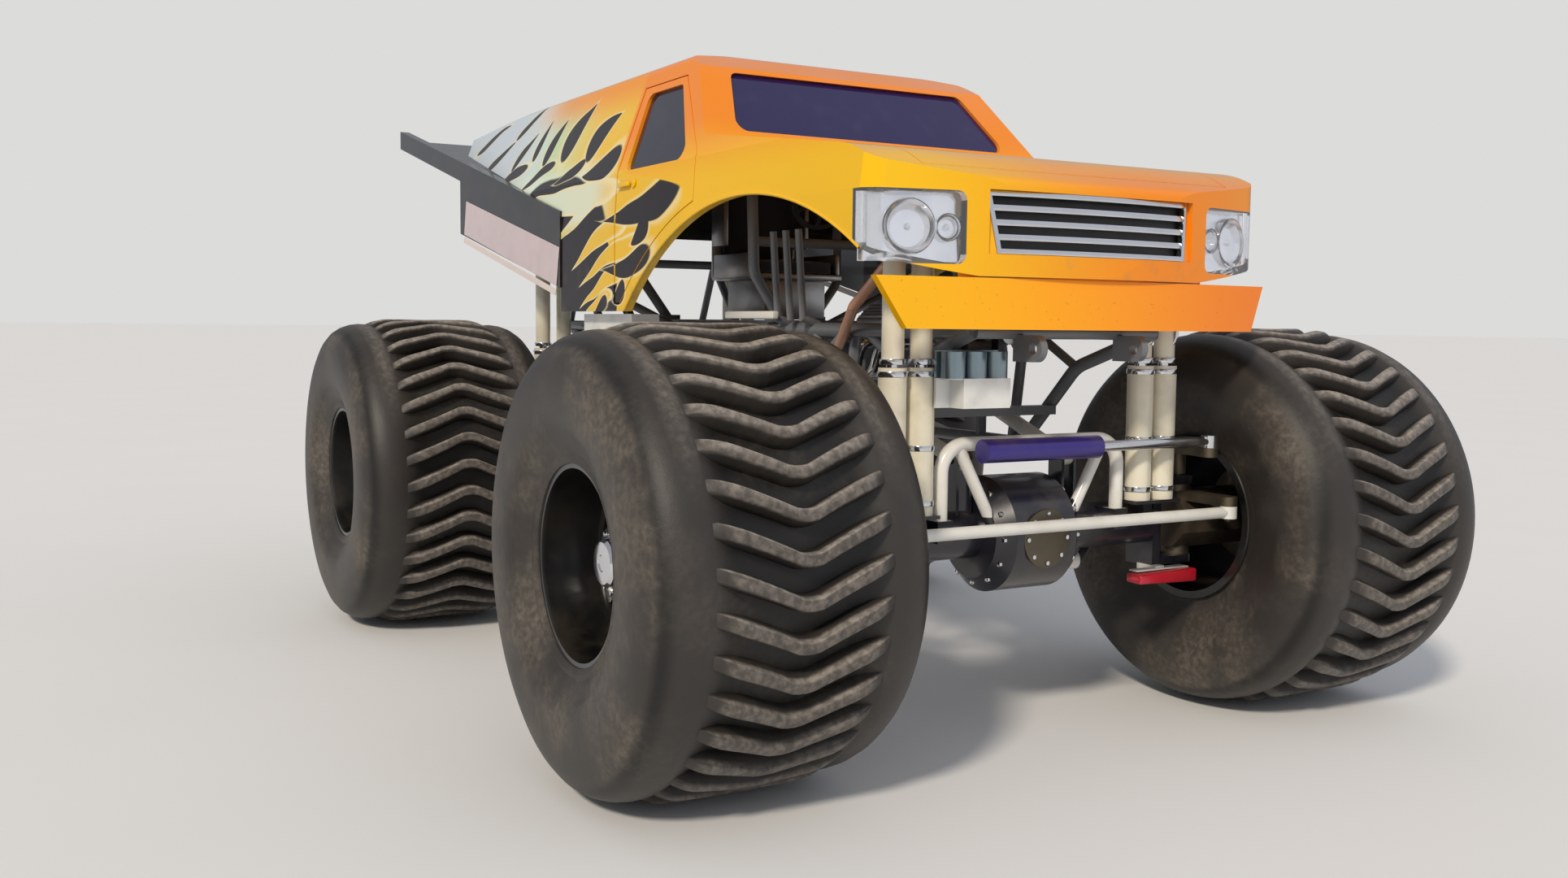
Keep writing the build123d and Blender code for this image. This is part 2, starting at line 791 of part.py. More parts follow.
kick_slope = (top_rail_z - kick_z) / (nose_reach - kick_reach)
hanger_front_x = can_x - can_radius + can_sink
hanger_x = hanger_front_x - hanger_thick
rail_under_z = top_rail_z - kick_slope * (mid_x + nose_reach - hanger_x) - low_rail_radius * math.hypot(1, kick_slope)
with BuildPart() as tanks:
    block((hanger_x, hanger_y[0], can_box_z[0]), (hanger_front_x, hanger_y[1], rail_under_z - seat_gap))
    block((hanger_front_x, can_box_y[0], can_box_z[0]), (can_x + can_radius, can_box_y[1], can_box_z[1]))
    for y in can_places:
        rod((can_x, y, can_box_z[1] - can_sink), (can_x, y, can_box_z[1] + can_height), can_radius)
    block(
        (fuel_box_x[0], fuel_box_y[0], fuel_box_z[0]),
        (fuel_box_x[1], fuel_box_y[1], fuel_box_z[1]),
    )
    for x in (fuel_box_x[0] + fuel_arm_inset, fuel_box_x[1] - fuel_arm_inset):
        block(
            (x - beam_width / 2, fuel_box_y[1], top_rail_z - beam_height / 2),
            (x + beam_width / 2, -frame_half - rail_radius - seat_gap, top_rail_z + beam_height / 4),
        )

# Cab cage and its floor plate, which rests on the top rails

floor_low_z = top_rail_z + rail_radius + floor_rest
floor_top_z = floor_low_z + floor_thick
floor_back = cage_bends[-1][0] - cage_foot / 2
floor_front = cage_bends[0][0] + cage_foot / 2
dash_z = wheel_z - (dash_x - wheel_x) * math.tan(math.radians(wheel_tilt))
with BuildPart() as cage:
    block((floor_back, -frame_half, floor_low_z), (floor_front, frame_half, floor_top_z))
    for side in (-1, 1):
        bent_tube([(x, side * half, z) for x, half, z in cage_bends], cage_radius, cage_bend)
        for x, half, _ in (cage_bends[0], cage_bends[-1]):
            block(
                (x - cage_foot / 2, side * half - cage_foot / 2, floor_top_z),
                (x + cage_foot / 2, side * half + cage_foot / 2, floor_top_z + cage_foot_rise),
            )
    for x, half, z in (*[cage_bends[bend] for bend in cage_hoops], (dash_x, cage_bends[1][1], dash_z)):
        rod((x, -half, z), (x, half, z), hoop_radius)

# Power train

with BuildPart() as engine:
    block(
        (engine_back_x, -engine_half, engine_low_z),
        (engine_back_x + engine_length, engine_half, engine_low_z + engine_height),
    )

with BuildPart() as transfer_case:
    block(
        (mid_x - case_half_length, -case_half_width, case_low_z),
        (mid_x + case_half_length, case_half_width, case_low_z + case_height),
    )
    rod((mid_x, 0, bell_z), (engine_back_x, 0, bell_z), bell_radius)

with BuildPart() as driveshafts:
    for end in (-1, 1):
        case_face = Vector(mid_x + end * case_half_length, 0, output_z)
        pinion_face = Vector(mid_x + end * (half_base - pinion_reach), 0, pinion_z)
        reach = Vector(end * joint_length, 0, 0)
        rod(case_face, case_face + reach, joint_radius)
        rod(pinion_face - reach, pinion_face, joint_radius)
        rod(case_face + reach / 2, pinion_face - reach / 2, shaft_radius)

# Body shell


def body_form(inset):
    """The body's closed outer form, drawn in by a depth from its skin."""
    with BuildSketch(Plane.XZ) as profile:
        with BuildLine():
            Polyline(
                (nose_x, form_low_z),
                (nose_x, fascia_low_z),
                fascia_top,
                hood_break,
                cowl,
                screen_top,
                roof_front,
                roof_mid,
                (tail_x, tail_top_z),
                (tail_x, form_low_z),
                close=True,
            )
        make_face()
        for corner, radius in ((fascia_top, fascia_round), (hood_break, hood_round), (roof_front, roof_round)):
            fillet(profile.vertices().sort_by_distance(corner)[0], radius)
        if inset:
            offset(amount=-inset, kind=Kind.INTERSECTION, mode=Mode.REPLACE)
    with BuildSketch(Plane.YZ.offset(tail_x - wall)) as section:
        half_outline = ((body_half, form_low_z), (body_half, waist_z), belt, roof_edge)
        with BuildLine():
            Polyline(*half_outline, (0, crown_z), *[(-y, z) for y, z in reversed(half_outline)], close=True)
        make_face()
        for y in (-roof_edge[0], roof_edge[0]):
            fillet(section.vertices().sort_by_distance((y, roof_edge[1]))[0], roof_edge_round)
        if inset:
            offset(amount=-inset, kind=Kind.INTERSECTION, mode=Mode.REPLACE)
    with BuildSketch(Plane.XY.offset(form_low_z)) as plan:
        half = body_half + plan_spare
        corner_x = nose_x - nose_curve + math.sqrt(nose_curve**2 - half**2)
        with BuildLine():
            ThreePointArc((corner_x, -half), (nose_x, 0), (corner_x, half))
            Polyline((corner_x, half), (2 * tail_x, half), (2 * tail_x, -half), (corner_x, -half))
        make_face()
        for y in (-half, half):
            fillet(plan.vertices().sort_by_distance((corner_x, y))[0], plan_corner)
        if inset:
            offset(amount=-inset, kind=Kind.INTERSECTION, mode=Mode.REPLACE)
    with BuildPart() as form:
        extrude(profile.sketch, amount=2 * body_half, both=True)
        extrude(section.sketch, amount=nose_x - tail_x + 2 * wall, mode=Mode.INTERSECT)
        extrude(plan.sketch, amount=crown_z, mode=Mode.INTERSECT)
    return form.part


def layer(depth, thickness):
    """A skin of the body, from a depth under its surface."""
    with BuildPart() as skin:
        add(body_form(depth))
        add(body_form(depth + thickness), mode=Mode.SUBTRACT)
    return skin.part


def side_cut(side, window):
    """A prism across one side of the body, with a side window's outline."""
    low_back, low_front, high_back, high_front = window
    outline = (
        (low_back, window_low_z),
        (low_front, window_low_z),
        (high_front, window_high_z),
        (high_back, window_high_z),
    )
    with BuildPart() as prism:
        extrude(side_profile(side * body_half / 2, outline, window_round), amount=side * body_half)
    return prism.part


def door_cut(side, gap):
    """A prism across one side of the body, with a door's outline let out by a gap."""
    reach = arch_radius + door_arch_gap - gap
    low_z = door_sill_z - gap
    front_x = door_front_x + gap
    back_x = door_back_x - gap * door_back_gap / panel_gap
    low_x = arch_x - math.sqrt(reach**2 - (low_z - arch_z) ** 2)
    arc_x = (low_x, (low_x + front_x) / 2, front_x)
    arc = [(x, -arch_z - math.sqrt(reach**2 - (arch_x - x) ** 2)) for x in arc_x]
    with BuildSketch(across(side * body_half / 2)) as face:
        with BuildLine():
            ThreePointArc(*arc)
            Polyline(
                arc[2],
                (front_x, -door_shoulder_z),
                (door_top_x + gap, -door_top_z - gap),
                (back_x, -door_top_z - gap),
                (back_x, -low_z),
                arc[0],
            )
        make_face()
    with BuildPart() as prism:
        extrude(face.sketch, amount=side * body_half)
    return prism.part


def front_cut(back_x, outline, corner=0.0):
    """A prism along X from a place forward, with an outline in Y and Z and its corners' radius."""
    with BuildSketch(Plane.YZ.offset(back_x)) as face:
        with BuildLine():
            Polyline(*outline, close=True)
        make_face()
        if corner:
            fillet(face.vertices(), corner)
    with BuildPart() as prism:
        extrude(face.sketch, amount=nose_x)
    return prism.part


def front_box(y_low, y_high, z_low, z_high, corner=0.0):
    """A prism through the body's nose."""
    return front_cut(lamp_back_x, ((y_low, z_low), (y_high, z_low), (y_high, z_high), (y_low, z_high)), corner)


def hood_cut(gap):
    """An upright prism with the hood's outline in plan, let out by a gap."""
    with BuildPart() as prism:
        block((hood_back_x - gap, -hood_half - gap, hood_low_z), (hood_front_x + gap, hood_half + gap, crown_z))
    return prism.part


screen_cut = front_cut(roof_front[0], (
    (-screen_low[0], screen_low[1]),
    screen_low,
    screen_high,
    (-screen_high[0], screen_high[1]),
), screen_round)
grille_cut = front_box(-grille_half, grille_half, grille_low_z, grille_high_z)
lamp_cuts = (
    front_box(-2 * body_half, -lamp_inner_y, lamp_low_z, lamp_high_z, lamp_round),
    front_box(lamp_inner_y, 2 * body_half, lamp_low_z, lamp_high_z, lamp_round),
)
glass = layer(glass_depth, glass_thick)
grille_skin = layer(0, grille_depth)
quarter_skin = layer(0, glass_thick)

with BuildPart() as shell:
    add(layer(0, wall))
    block((2 * tail_x, -2 * body_half, 0), (2 * nose_x, 2 * body_half, sill_z), Mode.SUBTRACT)
    block((arch_x, -2 * body_half, 0), (2 * nose_x, 2 * body_half, fascia_low_z), Mode.SUBTRACT)
    with BuildSketch(across(-2 * body_half, arch_z)):
        with Locations((arch_x, 0)):
            Circle(arch_radius)
    extrude(amount=4 * body_half, mode=Mode.SUBTRACT)
    under_deck = (
        (deck_front_x, 0),
        (deck_front_x, deck_top(deck_front_x)),
        (2 * tail_x, deck_top(2 * tail_x)),
        (2 * tail_x, 0),
    )
    extrude(side_profile(-2 * body_half, under_deck), amount=4 * body_half, mode=Mode.SUBTRACT)

with BuildPart() as body:
    add(shell.part)
    for cut in (hood_cut(panel_gap), screen_cut, grille_cut, *lamp_cuts):
        add(cut, mode=Mode.SUBTRACT)
    for side in (-1, 1):
        add(door_cut(side, panel_gap), mode=Mode.SUBTRACT)
        add(side_cut(side, quarter_panel), mode=Mode.SUBTRACT)


def trimmed(part, cut):
    """The share of a part that lies inside a prism."""
    with BuildPart() as piece:
        add(part)
        add(cut, mode=Mode.INTERSECT)
    return piece.part


with BuildPart() as hood:
    add(trimmed(shell.part, hood_cut(0)))

with BuildPart() as windscreen:
    add(trimmed(glass, screen_cut))

with BuildPart() as quarter_glass:
    for side in (-1, 1):
        add(trimmed(quarter_skin, side_cut(side, quarter_panel)))

doors = {}
for side, name in ((1, "left"), (-1, "right")):
    with BuildPart() as door:
        add(trimmed(shell.part, door_cut(side, 0)))
        add(side_cut(side, door_window), mode=Mode.SUBTRACT)
        low_y, high_y = sorted((side * (body_half - hinge_inner), side * (body_half - hinge_outer)))
        for z in hinge_heights:
            block(
                (door_front_x - hinge_leaf, low_y, z - hinge_half),
                (door_front_x + panel_gap - seat_gap, high_y, z + hinge_half),
            )
    with BuildPart() as door_glass:
        add(trimmed(glass, side_cut(side, door_window)))
    doors[f"door_{name}"] = door
    doors[f"door_glass_{name}"] = door_glass

# Grille and lamps

slot_height = (grille_high_z - grille_low_z - 2 * grille_frame - grille_bars * grille_bar) / (grille_bars + 1)
slot_half = grille_half - grille_frame
with BuildPart() as grille:
    add(trimmed(shell.part, grille_cut))
    for n in range(grille_bars + 1):
        low = grille_low_z + grille_frame + n * (slot_height + grille_bar)
        add(trimmed(grille_skin, front_box(-slot_half, slot_half, low, low + slot_height)), mode=Mode.SUBTRACT)

with BuildPart() as headlamps:
    for cut in lamp_cuts:
        add(trimmed(shell.part, cut))

# Front bumper


def bumper_plan(half, z, front, inset):
    """The bumper's outline in plan at a height, drawn in from its skin."""
    y = half - inset
    x = front - inset
    back = front - bumper_depth - inset
    with BuildSketch(Plane.XY.offset(z)) as plan:
        with BuildLine():
            ThreePointArc((x - bumper_curve, -y), (x, 0), (x - bumper_curve, y))
            Polyline((x - bumper_curve, y), (back, y), (back, -y), (x - bumper_curve, -y))
        make_face()
    return plan.sketch


with BuildPart() as front_bumper:
    loft([bumper_plan(half, z, x, 0) for half, z, x in (bumper_low, bumper_high)], ruled=True)
    hollow = (
        (bumper_low[0], bumper_low[1] + bumper_wall, bumper_low[2]),
        (bumper_high[0], bumper_high[1] - bumper_wall, bumper_high[2]),
    )
    loft([bumper_plan(half, z, x, bumper_wall) for half, z, x in hollow], ruled=True, mode=Mode.SUBTRACT)
    tube_reach = math.sqrt(cross_radius**2 - (bumper_low[1] - top_rail_z) ** 2)
    bracket_back_x = mid_x + nose_reach + tube_reach + seat_gap
    for side in (-1, 1):
        low_y, high_y = side * bracket_y - bracket_half, side * bracket_y + bracket_half
        block(
            (bracket_back_x, low_y, bumper_low[1]),
            (bumper_high[2] - bumper_wall, high_y, bumper_low[1] + bumper_wall),
        )

# Cab fittings

with BuildPart() as seat:
    seat_back_x = seat_x - seat_length / 2
    block(
        (seat_back_x, -seat_width / 2, floor_top_z),
        (seat_x + seat_length / 2, seat_width / 2, floor_top_z + seat_base),
    )
    block(
        (seat_back_x, -seat_width / 2, floor_top_z),
        (seat_back_x + seat_thick, seat_width / 2, floor_top_z + seat_back),
    )

with BuildPart() as steering_wheel:
    hub_point = Vector(wheel_x, 0, wheel_z)
    dash_point = Vector(dash_x, 0, dash_z)
    along = (dash_point - hub_point).normalized()
    with BuildSketch(Plane(origin=hub_point, z_dir=along)):
        RegularPolygon(wheel_radius, hub_sides)
        RegularPolygon(wheel_radius - wheel_grip, hub_sides, mode=Mode.SUBTRACT)
        for turn in (0, 60, 120):
            with Locations(Location((0, 0), turn)):
                Rectangle(2 * wheel_radius - wheel_grip, wheel_grip)
    extrude(amount=wheel_grip)
    rod(hub_point, dash_point - along * (hoop_radius + seat_gap), column_radius)

# Rear deck with its skirts and stays


def deck_band(x_low, x_high, top_drop, bottom_drop, y_low, y_high):
    """Adds a bar that follows the deck's slope, between two depths under its top, to the open part."""
    outline = (
        (x_high, deck_top(x_high) - top_drop),
        (x_low, deck_top(x_low) - top_drop),
        (x_low, deck_top(x_low) - bottom_drop),
        (x_high, deck_top(x_high) - bottom_drop),
    )
    extrude(side_profile(y_low, outline), amount=y_high - y_low)


with BuildPart() as rear_deck:
    inner_y = deck_half - rail_width
    deck_band(deck_end_x, deck_front_x, deck_floor_drop, deck_floor_drop + deck_floor_thick, -inner_y, inner_y)
    joists = (
        deck_front_x,
        front_stay_x + rail_width / 2,
        skirt_back_x,
        deck_end_x + 6 * rail_width,
        deck_end_x + rail_width,
    )
    for x in joists:
        deck_band(x - rail_width, x, deck_floor_drop, rail_height, -inner_y, inner_y)
    skirt_end_z = skirt_low_z + (deck_front_x - skirt_back_x) * math.tan(math.radians(skirt_rise))
    skirt_outline = (
        (deck_front_x, deck_top(deck_front_x) - rail_height),
        (skirt_back_x, deck_top(skirt_back_x) - rail_height),
        (skirt_back_x, skirt_end_z),
        (deck_front_x, skirt_low_z),
    )
    stay_lines = (
        (stay_feet[0], front_stay_x),
        (stay_feet[1], skirt_back_x - rail_width / 2),
        (stay_feet[1], deck_end_x + 5.5 * rail_width),
    )
    for side in (-1, 1):
        low_y, high_y = sorted((side * inner_y, side * deck_half))
        deck_band(deck_end_x, deck_front_x, 0, rail_height, low_y, high_y)
        low_y, high_y = sorted((side * (deck_half - skirt_thick), side * deck_half))
        extrude(side_profile(low_y, skirt_outline), amount=skirt_thick)
    for side in (-1, 1):
        for (foot_x, foot_y, foot_z), top_x in stay_lines:
            foot = Vector(foot_x, side * foot_y, foot_z)
            top = Vector(top_x, side * (inner_y + frame_half) / 2, deck_top(top_x) - rail_height + rail_width / 2)
            rod(foot - (top - foot).normalized() * stay_radius, top, stay_radius)
            block(
                (foot_x - stay_pad, side * foot_y - stay_pad, foot_z - stay_pad),
                (foot_x + stay_pad, side * foot_y + stay_pad, foot_z),
                Mode.SUBTRACT,
            )

truck_pieces = {
    "chassis": chassis,
    "cage": cage,
    "tanks": tanks,
    "engine": engine,
    "transfer_case": transfer_case,
    "driveshafts": driveshafts,
    "body": body,
    "hood": hood,
    "windscreen": windscreen,
    "quarter_glass": quarter_glass,
    **doors,
    "grille": grille,
    "headlamps": headlamps,
    "front_bumper": front_bumper,
    "seat": seat,
    "steering_wheel": steering_wheel,
    "rear_deck": rear_deck,
}
for piece, solid in truck_pieces.items():
    save(piece, solid.part)
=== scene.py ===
"""Monster truck: the finish of every surface and the forms that its frame leaves plain.

Everything is in metres in the truck's own frame: +X forward, +Y to its left, +Z up, the floor at zero.
"""

from __future__ import annotations

import json
import logging
import math
from dataclasses import dataclass, field
from enum import Enum, IntEnum
from functools import cached_property
from typing import Any, Iterable, Sequence

import bmesh
import bpy
from mathutils import Matrix, Vector

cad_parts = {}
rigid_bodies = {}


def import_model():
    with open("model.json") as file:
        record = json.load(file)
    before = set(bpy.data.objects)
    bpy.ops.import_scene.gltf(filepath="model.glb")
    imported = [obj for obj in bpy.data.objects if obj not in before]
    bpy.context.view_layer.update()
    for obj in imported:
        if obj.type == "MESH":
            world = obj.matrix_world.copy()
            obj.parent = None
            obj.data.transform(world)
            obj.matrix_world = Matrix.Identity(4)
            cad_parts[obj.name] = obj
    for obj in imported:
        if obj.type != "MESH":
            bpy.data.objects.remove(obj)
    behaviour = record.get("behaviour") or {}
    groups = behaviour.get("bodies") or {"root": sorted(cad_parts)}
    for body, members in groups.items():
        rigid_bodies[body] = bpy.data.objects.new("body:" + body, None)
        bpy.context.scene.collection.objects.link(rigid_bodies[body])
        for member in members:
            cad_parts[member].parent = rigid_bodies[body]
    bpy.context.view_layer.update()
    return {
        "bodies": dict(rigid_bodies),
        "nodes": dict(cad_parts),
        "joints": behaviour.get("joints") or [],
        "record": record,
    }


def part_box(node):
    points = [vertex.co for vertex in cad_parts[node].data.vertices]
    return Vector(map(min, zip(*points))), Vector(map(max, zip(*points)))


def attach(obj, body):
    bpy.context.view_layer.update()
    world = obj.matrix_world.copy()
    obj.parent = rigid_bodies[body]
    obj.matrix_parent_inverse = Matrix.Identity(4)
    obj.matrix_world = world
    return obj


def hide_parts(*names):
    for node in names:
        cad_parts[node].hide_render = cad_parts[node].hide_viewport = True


LOG = logging.getLogger("monster_truck")
PHOTO_WIDTH = 1929
SENSOR_WIDTH = 36.0
SIDES = (-1, 1)
QUARTER_TURN = math.radians(90)
AXLES_MIDDLE_X = 0.682
HALF_WHEELBASE = 1.700
AXLE_Z = 0.838
NOSE_RADIUS = 3.360
NOISE_ROUGHNESS = 0.55

Span = tuple[float, float]
Place = tuple[float, float, float]
Stops = tuple[tuple[float, str], ...]
Profile = tuple[tuple[float, float], ...]


class Corner(Enum):
    """The four wheels, each with its place's name."""

    FRONT_LEFT = "front_left"
    FRONT_RIGHT = "front_right"
    REAR_LEFT = "rear_left"
    REAR_RIGHT = "rear_right"


class Step(Enum):
    """The shader steps that the finishes share: node type, inputs in order, output and settings."""

    ADD = ("ShaderNodeMath", (0, 1), 0, {"operation": "ADD"})
    SUBTRACT = ("ShaderNodeMath", (0, 1), 0, {"operation": "SUBTRACT"})
    MULTIPLY = ("ShaderNodeMath", (0, 1), 0, {"operation": "MULTIPLY"})
    DIVIDE = ("ShaderNodeMath", (0, 1), 0, {"operation": "DIVIDE"})
    MULTIPLY_ADD = ("ShaderNodeMath", (0, 1, 2), 0, {"operation": "MULTIPLY_ADD"})
    LEAST = ("ShaderNodeMath", (0, 1), 0, {"operation": "MINIMUM"})
    MOST = ("ShaderNodeMath", (0, 1), 0, {"operation": "MAXIMUM"})
    ABSOLUTE = ("ShaderNodeMath", (0,), 0, {"operation": "ABSOLUTE"})
    ROOT = ("ShaderNodeMath", (0,), 0, {"operation": "SQRT"})
    SINE = ("ShaderNodeMath", (0,), 0, {"operation": "SINE"})
    FADE = (
        "ShaderNodeMapRange",
        ("Value", "From Min", "From Max"),
        "Result",
        {"interpolation_type": "SMOOTHSTEP"},
    )
    BLEND = ("ShaderNodeMix", ("Factor", 6, 7), 2, {"data_type": "RGBA"})
    NOISE = ("ShaderNodeTexNoise", ("Vector", "Scale", "Detail", "Roughness"), "Fac", {})
    RELIEF = ("ShaderNodeBump", ("Height", "Distance", "Strength"), "Normal", {})


def srgb(code: str) -> tuple[float, float, float, float]:
    """Turns a written colour to the linear one that the shaders work in.

    Args:
        code: Six hex digits, as in a paint chart.

    Returns:
        Linear red, green and blue, and full opacity.
    """
    parts = [int(code[i : i + 2], 16) / 255 for i in (0, 2, 4)]
    red, green, blue = (c / 12.92 if c <= 0.04045 else ((c + 0.055) / 1.055) ** 2.4 for c in parts)
    return (red, green, blue, 1.0)


def add_node(
    tree: bpy.types.NodeTree,
    kind: str,
    inputs: dict[Any, Any] | None = None,
    stops: Iterable[tuple[float, str]] = (),
    **settings: Any,
) -> bpy.types.Node:
    """Adds one node with its settings and links.

    Args:
        tree: The material's tree.
        kind: The node's type name.
        inputs: Socket name or number to a value, or to the socket that feeds it.
        stops: A colour ramp's places between 0 and 1 with their hex codes, its two ends first.
        **settings: The node's own options.

    Returns:
        The new node.
    """
    node = tree.nodes.new(kind)
    for name, value in settings.items():
        setattr(node, name, value)
    for key, value in (inputs or {}).items():
        if isinstance(value, bpy.types.NodeSocket):
            tree.links.new(value, node.inputs[key])
        else:
            node.inputs[key].default_value = value
    for index, (place, code) in enumerate(stops):
        elements = node.color_ramp.elements
        element = elements[index] if index < 2 else elements.new(place)
        element.position = place
        element.color = srgb(code)
    return node


class Graph:
    """A material's node tree with the few patterns that all finishes share."""

    def __init__(self, name: str) -> None:
        """Starts an empty material of that name.

        Args:
            name: What the material is called.
        """
        self.material = bpy.data.materials.new(name)
        self.material.use_nodes = True
        self.tree = self.material.node_tree
        self.tree.nodes.clear()
        self.place = add_node(self.tree, "ShaderNodeTexCoord").outputs["Object"]
        self.x, self.y, self.z = add_node(self.tree, "ShaderNodeSeparateXYZ", {0: self.place}).outputs

    @cached_property
    def facing(self) -> list[bpy.types.NodeSocket]:
        """The X, Y and Z of the way that the surface faces."""
        normal = add_node(self.tree, "ShaderNodeNewGeometry").outputs["Normal"]
        return list(add_node(self.tree, "ShaderNodeSeparateXYZ", {0: normal}).outputs)

    def step(self, step: Step, *values: Any) -> bpy.types.NodeSocket:
        """Adds one of the shared steps.

        Args:
            step: What is done.
            *values: Its inputs in order, each a value or the socket that feeds it.

        Returns:
            The step's result.
        """
        kind, inputs, output, settings = step.value
        return add_node(self.tree, kind, dict(zip(inputs, values)), **settings).outputs[output]

    def cloud(self, per_metre: float, detail: float = 3.0) -> bpy.types.NodeSocket:
        """Even noise with so many spots per metre of the truck."""
        return self.step(Step.NOISE, self.place, per_metre, detail, NOISE_ROUGHNESS)

    def blotches(self, per_metre: float, detail: float, low: float, high: float) -> bpy.types.NodeSocket:
        """Soft-edged patches, from none where the noise is under low to full where it is over high."""
        return self.step(Step.FADE, self.cloud(per_metre, detail), low, high)

    def grain(
        self, per_metre: float, depth_mm: float, strength: float, detail: float = 2.0
    ) -> bpy.types.NodeSocket:
        """The fine relief of a sprayed or cast skin, whose full height is given in millimetres."""
        return self.step(Step.RELIEF, self.cloud(per_metre, detail), depth_mm / 1000, strength)

    def surface(self, inputs: dict[str, Any]) -> bpy.types.Material:
        """Ends the tree in one shader with these inputs.

        Args:
            inputs: Socket name to a value, or to the socket that feeds it.

        Returns:
            The finished material.
        """
        shader = add_node(self.tree, "ShaderNodeBsdfPrincipled", inputs)
        add_node(self.tree, "ShaderNodeOutputMaterial", {"Surface": shader.outputs[0]})
        return self.material


@dataclass(frozen=True)
class Lick:
    """One tapered, bent drop in the flame pattern on the body's side, in metres in X and Z."""

    x: float
    z: float
    half_length: float
    half_width: float
    angle: float
    taper: float = 0.55
    bend: float = 0.0
    least_width: float = 0.05

    def reach(self, graph: Graph, warped: bpy.types.NodeSocket) -> bpy.types.NodeSocket:
        """How far a place lies from the drop's middle: under 1 inside it, over 1 outside.

        Args:
            graph: The material's tree.
            warped: The place on the body, swayed as the flames are.

        Returns:
            The distance, as a share of the drop's own outline.
        """
        laid = add_node(
            graph.tree,
            "ShaderNodeMapping",
            {
                "Vector": warped,
                "Location": (self.x, 0.0, self.z),
                "Rotation": (0.0, math.radians(-self.angle), 0.0),
                "Scale": (self.half_length, 1.0, self.half_width),
            },
            vector_type="TEXTURE",
        ).outputs["Vector"]
        along, _, across = add_node(graph.tree, "ShaderNodeSeparateXYZ", {0: laid}).outputs
        square = graph.step(Step.MULTIPLY, along, along)
        bent = graph.step(Step.MULTIPLY_ADD, square, self.bend, across)
        slim = graph.step(Step.MULTIPLY_ADD, along, -self.taper, 1.0)
        share = graph.step(Step.DIVIDE, bent, graph.step(Step.MOST, slim, self.least_width))
        return graph.step(Step.MULTIPLY_ADD, share, share, square)


